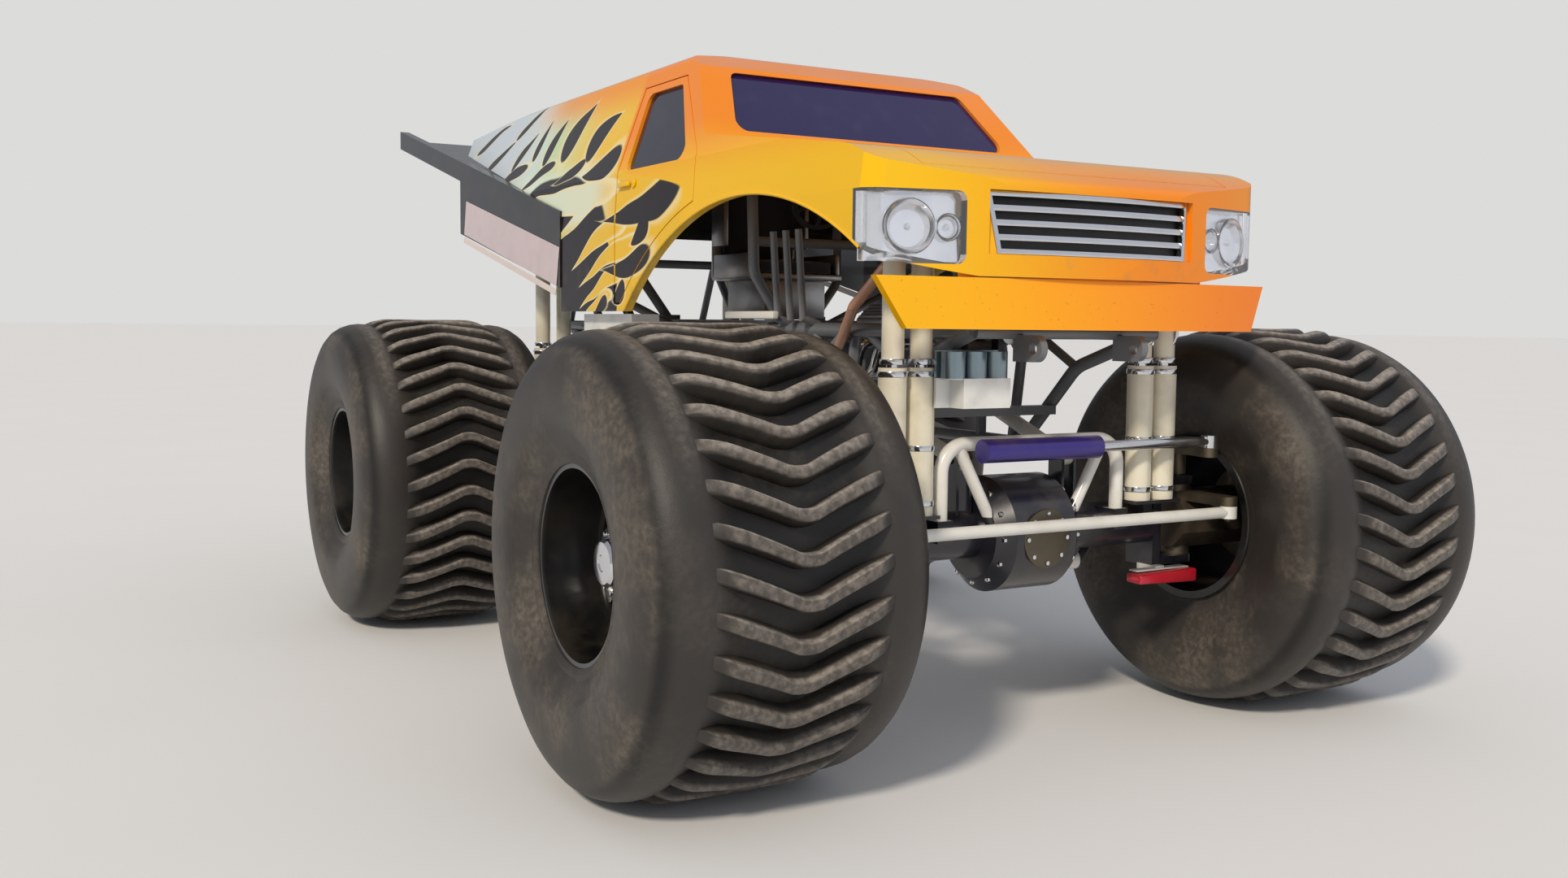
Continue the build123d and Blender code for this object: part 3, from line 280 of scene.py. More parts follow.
@dataclass(frozen=True)
class FlamePaint:
    """Automotive basecoat under clearcoat, sprayed: yellow sides and orange top, with flames to the rear.

    The licks are masked and sprayed over a dark ground, from yellow through pale green to silver. Each
    pair of numbers is where a colour starts to fade in and where it is full.
    """

    name: str = "sprayed_flame_clearcoat"
    yellow: str = "FBC40C"
    orange: str = "F68D14"
    # Painted highlight colour, laid in patches on the upward faces.
    peach_highlight: str = "F29A62"
    ground: str = "170A08"
    pinstripe: str = "F6E7B4"
    band: str = "E2EEDC"
    dust: str = "8A7A64"
    orange_z: Span = (2.24, 2.60)
    orange_nose_x: Span = (2.45, 2.85)
    orange_nose_y: Span = (-0.95, 0.35)
    peach_highlight_facing: Span = (0.25, 0.95)
    flame_x: Span = (0.75, -1.35)
    flame_stops: Stops = (
        (0.0, "F4C21A"),
        (1.0, "CBD6E0"),
        (0.25, "F0C84A"),
        (0.45, "DDD98A"),
        (0.62, "C8DFB0"),
        (0.80, "D3E4DC"),
    )
    band_top_z: Span = (2.52, 2.40)
    band_foot_z: Span = (2.10, 2.20)
    band_x: Span = (0.60, 0.20)
    roof_z: Span = (2.66, 2.86)
    roof_x: Span = (-1.1, -0.4)
    dust_z: Span = (2.1, 1.7)
    flames_low_z: Span = (2.42, 2.25)
    flames_front_x: Span = (0.52, 1.27)
    front_edge: Span = (-0.02, 0.02)
    side_facing: Span = (0.5, 0.3)
    off_side: float = 4.0
    back_fade: Span = (1.06, 0.96)
    tongue_core: Span = (0.55, 1.0)
    tongue_edge: Span = (1.12, 0.98)
    hole_stripe: Span = (1.9, 1.15)
    hole_edge: Span = (1.12, 0.96)
    stripe_share: float = 0.6
    sway: float = 0.07
    slits: tuple[Lick, ...] = (
        Lick(-0.745, 2.682, 0.125, 0.032, 55, 0.7, 0.3),
        Lick(-0.520, 2.650, 0.150, 0.040, 50, 0.7, 0.3),
        Lick(-0.217, 2.687, 0.190, 0.066, 44, 0.75, 0.35),
        Lick(0.175, 2.628, 0.180, 0.066, 34, 0.75, 0.35),
        Lick(0.300, 2.420, 0.215, 0.058, 12, -0.75, -0.5),
        Lick(-0.130, 2.430, 0.190, 0.030, 14, -0.6, -0.4),
        Lick(-1.000, 2.640, 0.170, 0.026, 36, 0.6, 0.4),
        Lick(-1.120, 2.490, 0.260, 0.030, 14, -0.5, 0.4),
        Lick(-1.450, 2.640, 0.230, 0.024, 24, 0.5, 0.4),
        Lick(-0.620, 2.470, 0.220, 0.028, 16, -0.5, 0.5),
        Lick(-1.700, 2.790, 0.260, 0.020, 16, 0.5, 0.4),
        Lick(-1.050, 2.820, 0.200, 0.020, 22, 0.5, 0.4),
    )
    back_edge: tuple[Lick, ...] = (
        Lick(-0.250, 2.100, 0.700, 0.330, 0, 0.0, 0.0),
        Lick(0.250, 1.900, 0.370, 0.250, -35, 0.0, 0.0),
        Lick(-0.120, 1.800, 0.420, 0.170, 0, 0.0, 0.0),
    )
    tongues: tuple[Lick, ...] = (
        Lick(-0.150, 2.285, 0.720, 0.066, 0, -0.55, -0.6),
        Lick(0.330, 2.075, 0.360, 0.046, 16, -0.75, 0.8),
        Lick(0.480, 1.985, 0.400, 0.044, 14, -0.75, 0.8),
        Lick(0.400, 1.860, 0.300, 0.036, 16, -0.75, 0.8),
        Lick(0.020, 2.180, 0.330, 0.032, 20, -0.7, 0.8),
        Lick(0.300, 1.760, 0.220, 0.030, 18, -0.75, 0.8),
    )
    drops: tuple[Lick, ...] = (
        Lick(0.845, 2.190, 0.420, 0.070, 9, -0.8, -0.5),
        Lick(0.850, 2.075, 0.105, 0.050, 35, -0.5, -0.5),
        Lick(0.680, 1.925, 0.280, 0.046, 8, -0.8, -0.6),
        Lick(0.610, 1.800, 0.085, 0.042, 28, -0.4, -0.4),
        Lick(0.370, 1.750, 0.080, 0.034, 20, -0.4, 0.0),
    )

    def nearest(
        self, graph: Graph, licks: Sequence[Lick], warped: bpy.types.NodeSocket
    ) -> bpy.types.NodeSocket:
        """The least reach of a group of drops.

        Args:
            graph: The material's tree.
            licks: The drops of the group.
            warped: The place on the body, swayed as the flames are.

        Returns:
            The least of their reaches.
        """
        value = licks[0].reach(graph, warped)
        for lick in licks[1:]:
            value = graph.step(Step.LEAST, value, lick.reach(graph, warped))
        return value

    def swayed(self, graph: Graph) -> bpy.types.NodeSocket:
        """The place, shifted a little to and fro so that the hand-masked edges waver.

        Args:
            graph: The material's tree.

        Returns:
            The shifted place.
        """
        noise = {"Vector": graph.place, "Scale": 2.6, "Detail": 1.0}
        cloud = add_node(graph.tree, "ShaderNodeTexNoise", noise).outputs["Color"]
        shift = add_node(
            graph.tree, "ShaderNodeVectorMath", {0: cloud, 1: (0.5, 0.5, 0.5)}, operation="SUBTRACT"
        ).outputs[0]
        return add_node(
            graph.tree,
            "ShaderNodeVectorMath",
            {0: shift, 1: (self.sway, 0.0, self.sway), 2: graph.place},
            operation="MULTIPLY_ADD",
        ).outputs[0]

    def flames(self, graph: Graph, body: Any, flame: Any) -> bpy.types.NodeSocket:
        """The body's colour with the ground, its licks and their pinstripes laid over it.

        Args:
            graph: The material's tree.
            body: The colour ahead of the flames.
            flame: The licks' colour.

        Returns:
            The finished colour.
        """
        stripe, ground = srgb(self.pinstripe), srgb(self.ground)
        warped = self.swayed(graph)
        back = graph.step(Step.FADE, self.nearest(graph, self.back_edge, warped), *self.back_fade)
        tongue = self.nearest(graph, self.tongues, warped)
        lick = graph.step(Step.BLEND, graph.step(Step.FADE, tongue, *self.tongue_core), flame, stripe)
        layered = graph.step(Step.BLEND, back, flame, ground)
        layered = graph.step(Step.BLEND, graph.step(Step.FADE, tongue, *self.tongue_edge), layered, lick)
        drops = self.nearest(graph, self.drops, warped)
        hole = graph.step(Step.LEAST, drops, self.nearest(graph, self.slits, warped))
        # Only the side faces carry the licks, so that none shows on the roof or the tail.
        turned = graph.step(Step.FADE, graph.step(Step.ABSOLUTE, graph.facing[1]), *self.side_facing)
        hole = graph.step(Step.MULTIPLY_ADD, turned, self.off_side, hole)
        pale = graph.step(Step.BLEND, self.stripe_share, layered, stripe)
        layered = graph.step(Step.BLEND, graph.step(Step.FADE, hole, *self.hole_stripe), layered, pale)
        layered = graph.step(Step.BLEND, graph.step(Step.FADE, hole, *self.hole_edge), layered, ground)
        high_x, low_x = self.flames_front_x
        lower = graph.step(Step.FADE, graph.z, *self.flames_low_z)
        start = graph.step(Step.MULTIPLY_ADD, lower, low_x - high_x, high_x)
        behind = graph.step(Step.FADE, graph.step(Step.SUBTRACT, start, graph.x), *self.front_edge)
        return graph.step(Step.BLEND, behind, body, layered)

    def plain(self, graph: Graph) -> bpy.types.NodeSocket:
        """The colour ahead of the flames: yellow, orange on top and at the nose, with a pinkish-orange
        painted highlight on upward faces.

        Args:
            graph: The material's tree.

        Returns:
            The colour.
        """
        across = graph.step(Step.FADE, graph.y, *self.orange_nose_y)
        nose = graph.step(Step.MULTIPLY, graph.step(Step.FADE, graph.x, *self.orange_nose_x), across)
        warm = graph.step(Step.MOST, graph.step(Step.FADE, graph.z, *self.orange_z), nose)
        body = graph.step(Step.BLEND, warm, srgb(self.yellow), srgb(self.orange))
        # Painted highlight: the upward faces of the hood and roof are lightened to a pinkish orange in soft
        # patches, where light falls.
        upward = graph.step(Step.FADE, graph.facing[2], *self.peach_highlight_facing)
        painted_highlight = graph.step(Step.MULTIPLY, upward, graph.blotches(1.1, 2.0, 0.3, 0.75))
        return graph.step(Step.BLEND, graph.step(Step.MULTIPLY, painted_highlight, 0.75), body, srgb(self.peach_highlight))

    def licks(self, graph: Graph) -> bpy.types.NodeSocket:
        """The licks' colour from front to rear, with a pale band behind the door and an orange roofline.

        Args:
            graph: The material's tree.

        Returns:
            The colour.
        """
        along = graph.step(Step.FADE, graph.x, *self.flame_x)
        ramp = add_node(graph.tree, "ShaderNodeValToRGB", {0: along}, self.flame_stops)
        band = graph.step(Step.FADE, graph.z, *self.band_top_z)
        band = graph.step(Step.MULTIPLY, band, graph.step(Step.FADE, graph.z, *self.band_foot_z))
        band = graph.step(Step.MULTIPLY, band, graph.step(Step.FADE, graph.x, *self.band_x))
        share = graph.step(Step.MULTIPLY, band, 0.85)
        flame = graph.step(Step.BLEND, share, ramp.outputs["Color"], srgb(self.band))
        roofline = graph.step(Step.FADE, graph.z, *self.roof_z)
        roofline = graph.step(Step.MULTIPLY, roofline, graph.step(Step.FADE, graph.x, *self.roof_x))
        return graph.step(Step.BLEND, graph.step(Step.MULTIPLY, roofline, 0.8), flame, srgb(self.orange))

    def build(self) -> bpy.types.Material:
        """Makes the paint.

        Returns:
            The paint's material.
        """
        graph = Graph(self.name)
        painted = self.flames(graph, self.plain(graph), self.licks(graph))
        low = graph.step(Step.FADE, graph.z, *self.dust_z)
        dust = graph.step(Step.MULTIPLY, graph.blotches(9.0, 6.0, 0.52, 0.8), low)
        dusty = graph.step(Step.BLEND, graph.step(Step.MULTIPLY, dust, 0.5), painted, srgb(self.dust))
        return graph.surface(
            {
                "Base Color": dusty,
                "Roughness": graph.step(Step.MULTIPLY_ADD, dust, 0.35, 0.28),
                "Specular IOR Level": 0.15,
                "Coat Weight": 0.45,
                "Coat Roughness": 0.05,
                "Normal": graph.grain(240.0, 0.15, 0.35),
            }
        )


@dataclass(frozen=True)
class FadePaint:
    """Automotive clearcoat on the bumper, faded from yellow at the right end to orange at the left."""

    name: str = "faded_bumper_clearcoat"
    stops: Stops = (
        (0.0, "FBB905"),
        (1.0, "F58218"),
        (0.3, "FEA808"),
        (0.7, "FA9514"),
    )
    half_width: float = 1.0
    chip: str = "7A4A20"

    def build(self) -> bpy.types.Material:
        """Makes the paint.

        Returns:
            The paint's material.
        """
        graph = Graph(self.name)
        across = graph.step(Step.FADE, graph.y, -self.half_width, self.half_width)
        ramp = add_node(graph.tree, "ShaderNodeValToRGB", {0: across}, self.stops)
        chips = graph.step(Step.MULTIPLY, graph.blotches(60.0, 8.0, 0.66, 0.7), 0.4)
        return graph.surface(
            {
                "Base Color": graph.step(Step.BLEND, chips, ramp.outputs["Color"], srgb(self.chip)),
                "Roughness": graph.step(Step.MULTIPLY_ADD, graph.cloud(12.0), 0.1, 0.3),
                "Specular IOR Level": 0.15,
                "Coat Weight": 0.45,
                "Coat Roughness": 0.06,
                "Normal": graph.grain(240.0, 0.15, 0.3),
            }
        )


@dataclass(frozen=True)
class Enamel:
    """Sprayed enamel or powder coat on steel: orange-peel relief, with dust where it settles."""

    name: str
    colour: str
    dust: str = "8C7D68"
    dust_share: float = 0.35
    roughness: float = 0.38
    grain_mm: float = 5.0
    coat: float = 0.3

    def build(self) -> bpy.types.Material:
        """Makes the paint.

        Returns:
            The paint's material.
        """
        graph = Graph(self.name)
        upward = graph.step(Step.FADE, graph.facing[2], 0.1, 0.9)
        lying = graph.step(Step.MULTIPLY_ADD, upward, 0.6, 0.4)
        settled = graph.step(Step.MULTIPLY, lying, graph.blotches(6.0, 7.0, 0.38, 0.72))
        share = graph.step(Step.MULTIPLY, settled, self.dust_share)
        return graph.surface(
            {
                "Base Color": graph.step(Step.BLEND, share, srgb(self.colour), srgb(self.dust)),
                "Roughness": graph.step(Step.MULTIPLY_ADD, share, 0.5, self.roughness),
                "Coat Weight": self.coat,
                "Coat Roughness": 0.15,
                "Normal": graph.grain(1000 / self.grain_mm, 0.2, 0.5),
            }
        )


@dataclass(frozen=True)
class BareMetal:
    """Metal with no paint: chrome plate, machined aluminium, or a casting with a sandy skin."""

    name: str
    colour: str
    roughness: float
    grit_mm: float = 2.0
    grit_depth_mm: float = 0.05
    stain: str = "5A4A3A"
    stain_share: float = 0.25

    def build(self) -> bpy.types.Material:
        """Makes the metal.

        Returns:
            The metal's material.
        """
        graph = Graph(self.name)
        share = graph.step(Step.MULTIPLY, graph.blotches(7.0, 6.0, 0.45, 0.75), self.stain_share)
        return graph.surface(
            {
                "Base Color": graph.step(Step.BLEND, share, srgb(self.colour), srgb(self.stain)),
                "Metallic": graph.step(Step.MULTIPLY_ADD, share, -0.7, 1.0),
                "Roughness": graph.step(Step.MULTIPLY_ADD, graph.cloud(30.0, 4.0), 0.12, self.roughness),
                "Normal": graph.grain(1000 / self.grit_mm, self.grit_depth_mm, 0.6, 3.0),
            }
        )


@dataclass(frozen=True)
class TreadRubber:
    """Moulded carbon-black rubber: crests scuffed and lightened by a painted highlight, painted shade deep in
    the grooves, a painted highlight on the bars' upward flanks, and dust thickest on the sidewalls.

    The pairs are distances from the wheel's axis where a tone starts to fade in and where it is full.
    """

    name: str = "moulded_tread_rubber"
    rubber: str = "322E2B"
    # Painted shade colour for the bottoms of the grooves.
    groove_shade: str = "14110F"
    crest: str = "8A8178"
    # Painted highlight colour for the bars' upward flanks.
    lit_flank: str = "B0A79C"
    dust: str = "7E7568"
    scuff_and_highlight_radius: Span = (0.818, 0.835)
    groove_shade_radius: Span = (0.800, 0.770)
    tread_radius: Span = (0.735, 0.765)
    lit_flank_radius: Span = (0.800, 0.822)
    lit_flank_facing: Span = (0.30, 0.85)

    def radius(self, graph: Graph) -> bpy.types.NodeSocket:
        """A place's distance from its own wheel's axis.

        Args:
            graph: The material's tree.

        Returns:
            The distance in metres.
        """
        from_middle = graph.step(Step.ABSOLUTE, graph.step(Step.SUBTRACT, graph.x, AXLES_MIDDLE_X))
        reach = graph.step(Step.SUBTRACT, from_middle, HALF_WHEELBASE)
        rise = graph.step(Step.SUBTRACT, graph.z, AXLE_Z)
        square = graph.step(Step.MULTIPLY_ADD, reach, reach, graph.step(Step.MULTIPLY, rise, rise))
        return graph.step(Step.ROOT, square)

    def build(self) -> bpy.types.Material:
        """Makes the rubber.

        Returns:
            The rubber's material.
        """
        graph = Graph(self.name)
        radius = self.radius(graph)
        broad = graph.blotches(2.6, 5.0, 0.40, 0.70)
        fine = graph.blotches(38.0, 8.0, 0.35, 0.70)
        tread = graph.step(Step.FADE, radius, *self.tread_radius)
        # Painted shade: the rubber darkens deep in the grooves between the bars, where shade falls.
        deep = graph.step(Step.MULTIPLY, graph.step(Step.FADE, radius, *self.groove_shade_radius), tread)
        base = graph.step(Step.BLEND, deep, srgb(self.rubber), srgb(self.groove_shade))
        # The crests are lightened both by scuffing and by a painted highlight along the lugs' lit tops.
        crest = graph.step(Step.FADE, radius, *self.scuff_and_highlight_radius)
        scuff_and_highlight = graph.step(Step.MULTIPLY, crest, graph.step(Step.MULTIPLY_ADD, fine, 0.45, 0.18))
        base = graph.step(Step.BLEND, scuff_and_highlight, base, srgb(self.crest))
        # Painted highlight: the bars' upward flanks near the crest are lightened where light from above
        # catches them.
        upward = graph.step(Step.FADE, graph.facing[2], *self.lit_flank_facing)
        lit_flank = graph.step(Step.MULTIPLY, upward, graph.step(Step.FADE, radius, *self.lit_flank_radius))
        lit_flank = graph.step(Step.MULTIPLY, lit_flank, graph.step(Step.MULTIPLY_ADD, fine, 0.45, 0.30))
        base = graph.step(Step.BLEND, lit_flank, base, srgb(self.lit_flank))
        settled = graph.step(Step.MULTIPLY, graph.step(Step.MULTIPLY_ADD, fine, 0.5, 0.25), broad)
        on_wall = graph.step(Step.MULTIPLY_ADD, graph.step(Step.SUBTRACT, 1.0, tread), 0.60, 0.22)
        share = graph.step(Step.MULTIPLY, settled, on_wall)
        height = graph.step(Step.MULTIPLY_ADD, graph.cloud(45.0), 1.5, graph.cloud(400.0))
        return graph.surface(
            {
                "Base Color": graph.step(Step.BLEND, share, base, srgb(self.dust)),
                "Roughness": graph.step(Step.MULTIPLY_ADD, share, 0.3, 0.46),
                "Specular IOR Level": 0.45,
                "Normal": graph.step(Step.RELIEF, height, 0.001, 0.5),
            }
        )


@dataclass(frozen=True)
class AxleEnamel:
    """Sprayed enamel on the axle: blue-black housing, white guards and a violet anodised ram barrel.

    A place's reach is how far it lies from its axle's line, away from the truck's middle.
    """

    name: str = "axle_enamel"
    housing: str = "1C1C26"
    guard: str = "ECEAE2"
    barrel: str = "3A2C86"
    dust: str = "7C7264"
    guard_reach: float = 0.130
    guard_half: Span = (0.034, 0.031)
    guard_foot_z: Span = (0.922, 0.926)
    guard_end_y: Span = (0.490, 0.486)
    housing_square: Span = (0.058, 0.060)
    housing_end_y: Span = (0.213, 0.217)
    ram_reach: float = 0.230
    ram_z: float = 1.1944
    ram_square: Span = (0.00245, 0.00225)

    def square(self, graph: Graph, reach: Any, z: float) -> bpy.types.NodeSocket:
        """The squared distance from a line along Y, from its reach and its height."""
        rise = graph.step(Step.SUBTRACT, graph.z, z)
        return graph.step(Step.MULTIPLY_ADD, reach, reach, graph.step(Step.MULTIPLY, rise, rise))

    def guards(self, graph: Graph, reach: Any) -> bpy.types.NodeSocket:
        """Where the truss guard is, from 0 to 1.

        Args:
            graph: The material's tree.
            reach: How far a place lies from its axle's line.

        Returns:
            The share of the guard's colour.
        """
        side = graph.step(Step.ABSOLUTE, graph.y)
        off_guard = graph.step(Step.ABSOLUTE, graph.step(Step.SUBTRACT, reach, self.guard_reach))
        guard = graph.step(Step.FADE, off_guard, *self.guard_half)
        guard = graph.step(Step.MULTIPLY, guard, graph.step(Step.FADE, graph.z, *self.guard_foot_z))
        guard = graph.step(Step.MULTIPLY, guard, graph.step(Step.FADE, side, *self.guard_end_y))
        off_housing = graph.step(Step.FADE, self.square(graph, reach, AXLE_Z), *self.housing_square)
        clear = graph.step(Step.MOST, off_housing, graph.step(Step.FADE, side, *self.housing_end_y))
        return graph.step(Step.MULTIPLY, guard, clear)

    def build(self) -> bpy.types.Material:
        """Makes the paint.

        Returns:
            The paint's material.
        """
        graph = Graph(self.name)
        from_middle = graph.step(Step.ABSOLUTE, graph.step(Step.SUBTRACT, graph.x, AXLES_MIDDLE_X))
        reach = graph.step(Step.SUBTRACT, from_middle, HALF_WHEELBASE)
        off_ram = graph.step(Step.SUBTRACT, reach, self.ram_reach)
        barrel = graph.step(Step.FADE, self.square(graph, off_ram, self.ram_z), *self.ram_square)
        guard = self.guards(graph, reach)
        colour = graph.step(Step.BLEND, guard, srgb(self.housing), srgb(self.guard))
        colour = graph.step(Step.BLEND, barrel, colour, srgb(self.barrel))
        upward = graph.step(Step.FADE, graph.facing[2], 0.1, 0.9)
        lying = graph.step(Step.MULTIPLY_ADD, upward, 0.22, 0.10)
        share = graph.step(Step.MULTIPLY, graph.blotches(7.0, 7.0, 0.40, 0.75), lying)
        return graph.surface(
            {
                "Base Color": graph.step(Step.BLEND, share, colour, srgb(self.dust)),
                "Metallic": graph.step(Step.MULTIPLY, barrel, 0.55),
                "Roughness": graph.step(Step.MULTIPLY_ADD, share, 0.4, 0.30),
                "Coat Weight": 0.5,
                "Coat Roughness": 0.12,
                "Normal": graph.grain(200.0, 0.2, 0.5),
            }
        )


@dataclass(frozen=True)
class ShockFinish:
    """Powder-coated cream shock body with a hard-chromed rod above it."""

    name: str = "cream_shock_coat"
    body: str = "E9E2CC"
    rod: str = "D8D8DA"
    dust: str = "8A7D6A"
    body_top: float = 1.514
    edge: float = 0.0005

    def build(self) -> bpy.types.Material:
        """Makes the finish.

        Returns:
            The finish's material.
        """
        graph = Graph(self.name)
        rod = graph.step(Step.FADE, graph.z, self.body_top - self.edge, self.body_top + self.edge)
        share = graph.step(Step.MULTIPLY, graph.blotches(8.0, 6.0, 0.45, 0.75), 0.25)
        body = graph.step(Step.BLEND, share, srgb(self.body), srgb(self.dust))
        return graph.surface(
            {
                "Base Color": graph.step(Step.BLEND, rod, body, srgb(self.rod)),
                "Metallic": rod,
                "Roughness": graph.step(Step.MULTIPLY_ADD, rod, -0.22, 0.34),
                "Coat Weight": 0.3,
                "Normal": graph.grain(220.0, 0.12, 0.4),
            }
        )


@dataclass(frozen=True)
class TankMetal:
    """Spun aluminium cans, blue-grey under their oil film, with their box and the fuel box in white enamel.

    The cans' turning marks are drawn every 4.5 mm, as coarse as they need to be to show.
    """

    name: str = "spun_tank_aluminium"
    can: str = "8FA0A8"
    box: str = "ECEDEA"
    film: str = "6A6256"
    box_top: Span = (1.4760, 1.4765)
    cans_x: Span = (1.5, 1.6)
    marks_rate: float = 1400.0

    def build(self) -> bpy.types.Material:
        """Makes the metal and the enamel.

        Returns:
            The material of both.
        """
        graph = Graph(self.name)
        ahead = graph.step(Step.FADE, graph.x, *self.cans_x)
        can = graph.step(Step.MULTIPLY, graph.step(Step.FADE, graph.z, *self.box_top), ahead)
        turned = graph.step(Step.SINE, graph.step(Step.MULTIPLY, graph.z, self.marks_rate))
        film = graph.blotches(9.0, 6.0, 0.45, 0.8)
        colour = graph.step(Step.BLEND, can, srgb(self.box), srgb(self.can))
        share = graph.step(Step.MULTIPLY, film, 0.25)
        return graph.surface(
            {
                "Base Color": graph.step(Step.BLEND, share, colour, srgb(self.film)),
                "Metallic": graph.step(Step.MULTIPLY, can, 0.85),
                "Roughness": graph.step(Step.MULTIPLY_ADD, film, 0.15, 0.28),
                "Coat Weight": 0.2,
                "Normal": graph.step(Step.RELIEF, graph.step(Step.MULTIPLY, turned, can), 0.00005, 0.5),
            }
        )


@dataclass(frozen=True)
class TintedGlass:
    """Laminated acrylic sheet with a dark film: a mirror-smooth blue-violet skin."""

    name: str
    colour: str
    transmission: float = 0.3
    roughness: float = 0.04
    smear: str = "6D6C8E"

    def build(self) -> bpy.types.Material:
        """Makes the glass.

        Returns:
            The glass's material.
        """
        graph = Graph(self.name)
        share = graph.step(Step.MULTIPLY, graph.blotches(5.0, 5.0, 0.5, 0.9), 0.25)
        return graph.surface(
            {
                "Base Color": graph.step(Step.BLEND, share, srgb(self.colour), srgb(self.smear)),
                "Roughness": self.roughness,
                "IOR": 1.49,
                "Transmission Weight": self.transmission,
                "Coat Weight": 0.4,
                "Coat Roughness": 0.02,
            }
        )


@dataclass(frozen=True)
class Fabric:
    """Woven seat cover: threads drawn at 3 mm so that they show, with a soft sheen."""

    name: str = "woven_seat_cover"
    colour: str = "1D1D21"
    worn: str = "303038"
    thread_rate: float = 2094.0

    def threads(self, graph: Graph, across: bpy.types.NodeSocket) -> bpy.types.NodeSocket:
        """The waves of the threads that run one way."""
        slant = graph.step(Step.ADD, across, graph.z)
        return graph.step(Step.SINE, graph.step(Step.MULTIPLY, slant, self.thread_rate))

    def build(self) -> bpy.types.Material:
        """Makes the fabric.

        Returns:
            The fabric's material.
        """
        graph = Graph(self.name)
        weave = graph.step(Step.MULTIPLY, self.threads(graph, graph.x), self.threads(graph, graph.y))
        return graph.surface(
            {
                "Base Color": graph.step(Step.BLEND, graph.cloud(15.0), srgb(self.colour), srgb(self.worn)),
                "Roughness": 0.85,
                "Sheen Weight": 0.4,
                "Normal": graph.step(Step.RELIEF, weave, 0.0006, 0.6),
            }
        )


@dataclass(frozen=True)
class Floor:
    """Plain pale floor that keeps the truck's shadow."""

    name: str = "pale_floor"
    colour: str = "F4F4F3"
    shade: str = "F0F0EF"

    def build(self) -> bpy.types.Material:
        """Makes the floor's paint.

        Returns:
            The paint's material.
        """
        graph = Graph(self.name)
        tone = graph.step(Step.BLEND, graph.cloud(0.6), srgb(self.colour), srgb(self.shade))
        return graph.surface({"Base Color": tone, "Roughness": 0.75})


class Finishes:
    """Every finish on the truck, each made once."""

    def __init__(self) -> None:
        """Builds the materials."""
        self.flame = FlamePaint().build()
        self.bumper = FadePaint().build()
        self.rubber = TreadRubber().build()
        self.rim = Enamel("black_powder_coat", "0B0B0C", dust_share=0.10, roughness=0.30, coat=0.4).build()
        self.chrome = BareMetal("polished_chrome", "D9DADD", 0.07, stain_share=0.12).build()
        self.polished = BareMetal("machined_aluminium", "B4B4B4", 0.28, grit_mm=1.5).build()
        self.cast = BareMetal("sandy_casting", "6E6658", 0.48, 3.0, 0.3, stain_share=0.6).build()
        self.white = Enamel("white_enamel", "E6E5DE", dust_share=0.3).build()
        self.axle = AxleEnamel().build()
        self.shock = ShockFinish().build()
        self.cream = Enamel("cream_powder_coat", "EFE8D2", dust_share=0.2, roughness=0.3, coat=0.4).build()
        self.copper = Enamel("copper_enamel", "D79A76", dust_share=0.2, roughness=0.34, coat=0.4).build()
        self.red = Enamel("red_enamel", "B81228", dust_share=0.15, roughness=0.3, coat=0.6).build()
        self.reflector = BareMetal(
            "vacuum_metallised_reflector", "F2F4F8", 0.12, 6.0, 0.1, stain_share=0.03
        ).build()
        self.tube = Enamel("grey_powder_coat", "6C7076", dust_share=0.4).build()
        self.engine = Enamel("engine_enamel", "3E4148", dust_share=0.4, roughness=0.42).build()
        self.black = Enamel("black_enamel", "0F0F11", dust_share=0.22, roughness=0.3, coat=0.5).build()
        self.plate = Enamel("pale_placard", "DAC9CC", dust_share=0.25, roughness=0.35, coat=0.5).build()
        self.stripe = Enamel("pale_stripe", "EEDFD8", dust_share=0.15, roughness=0.35, coat=0.5).build()
        self.plastic = Enamel("moulded_plastic", "17171A", dust_share=0.15, roughness=0.5, coat=0.0).build()
        self.windscreen = TintedGlass("tinted_screen", "241C56", 0.12).build()
        self.side_glass = TintedGlass("tinted_side_glass", "1D1A33").build()
        self.lens = TintedGlass("clear_lens", "F8F9FC", 0.93, 0.02).build()
        self.fabric = Fabric().build()
        self.tank = TankMetal().build()
        self.floor = Floor().build()


def finish_piece(
    mesh: bmesh.types.BMesh,
    name: str,
    materials: Sequence[bpy.types.Material],
    body: str,
    smooth: float = 35.0,
) -> bpy.types.Object:
    """Makes an object of a finished mesh and lets it ride on its body.

    Args:
        mesh: The shape, in the truck's frame. It is freed.
        name: The piece's name.
        materials: Its finishes, in the order of the faces' numbers.
        body: The body that carries it.
        smooth: Edges under this angle, in degrees, are shaded smooth.

    Returns:
        The new object.
    """
    data = bpy.data.meshes.new(name)
    for face in mesh.faces:
        face.smooth = True
    mesh.to_mesh(data)
    mesh.free()
    for material in materials:
        data.materials.append(material)
    data.set_sharp_from_angle(angle=math.radians(smooth))
    obj = bpy.data.objects.new(name, data)
    bpy.context.scene.collection.objects.link(obj)
    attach(obj, body)
    LOG.info("%s: %d faces on %s", name, len(data.polygons), body)
    return obj


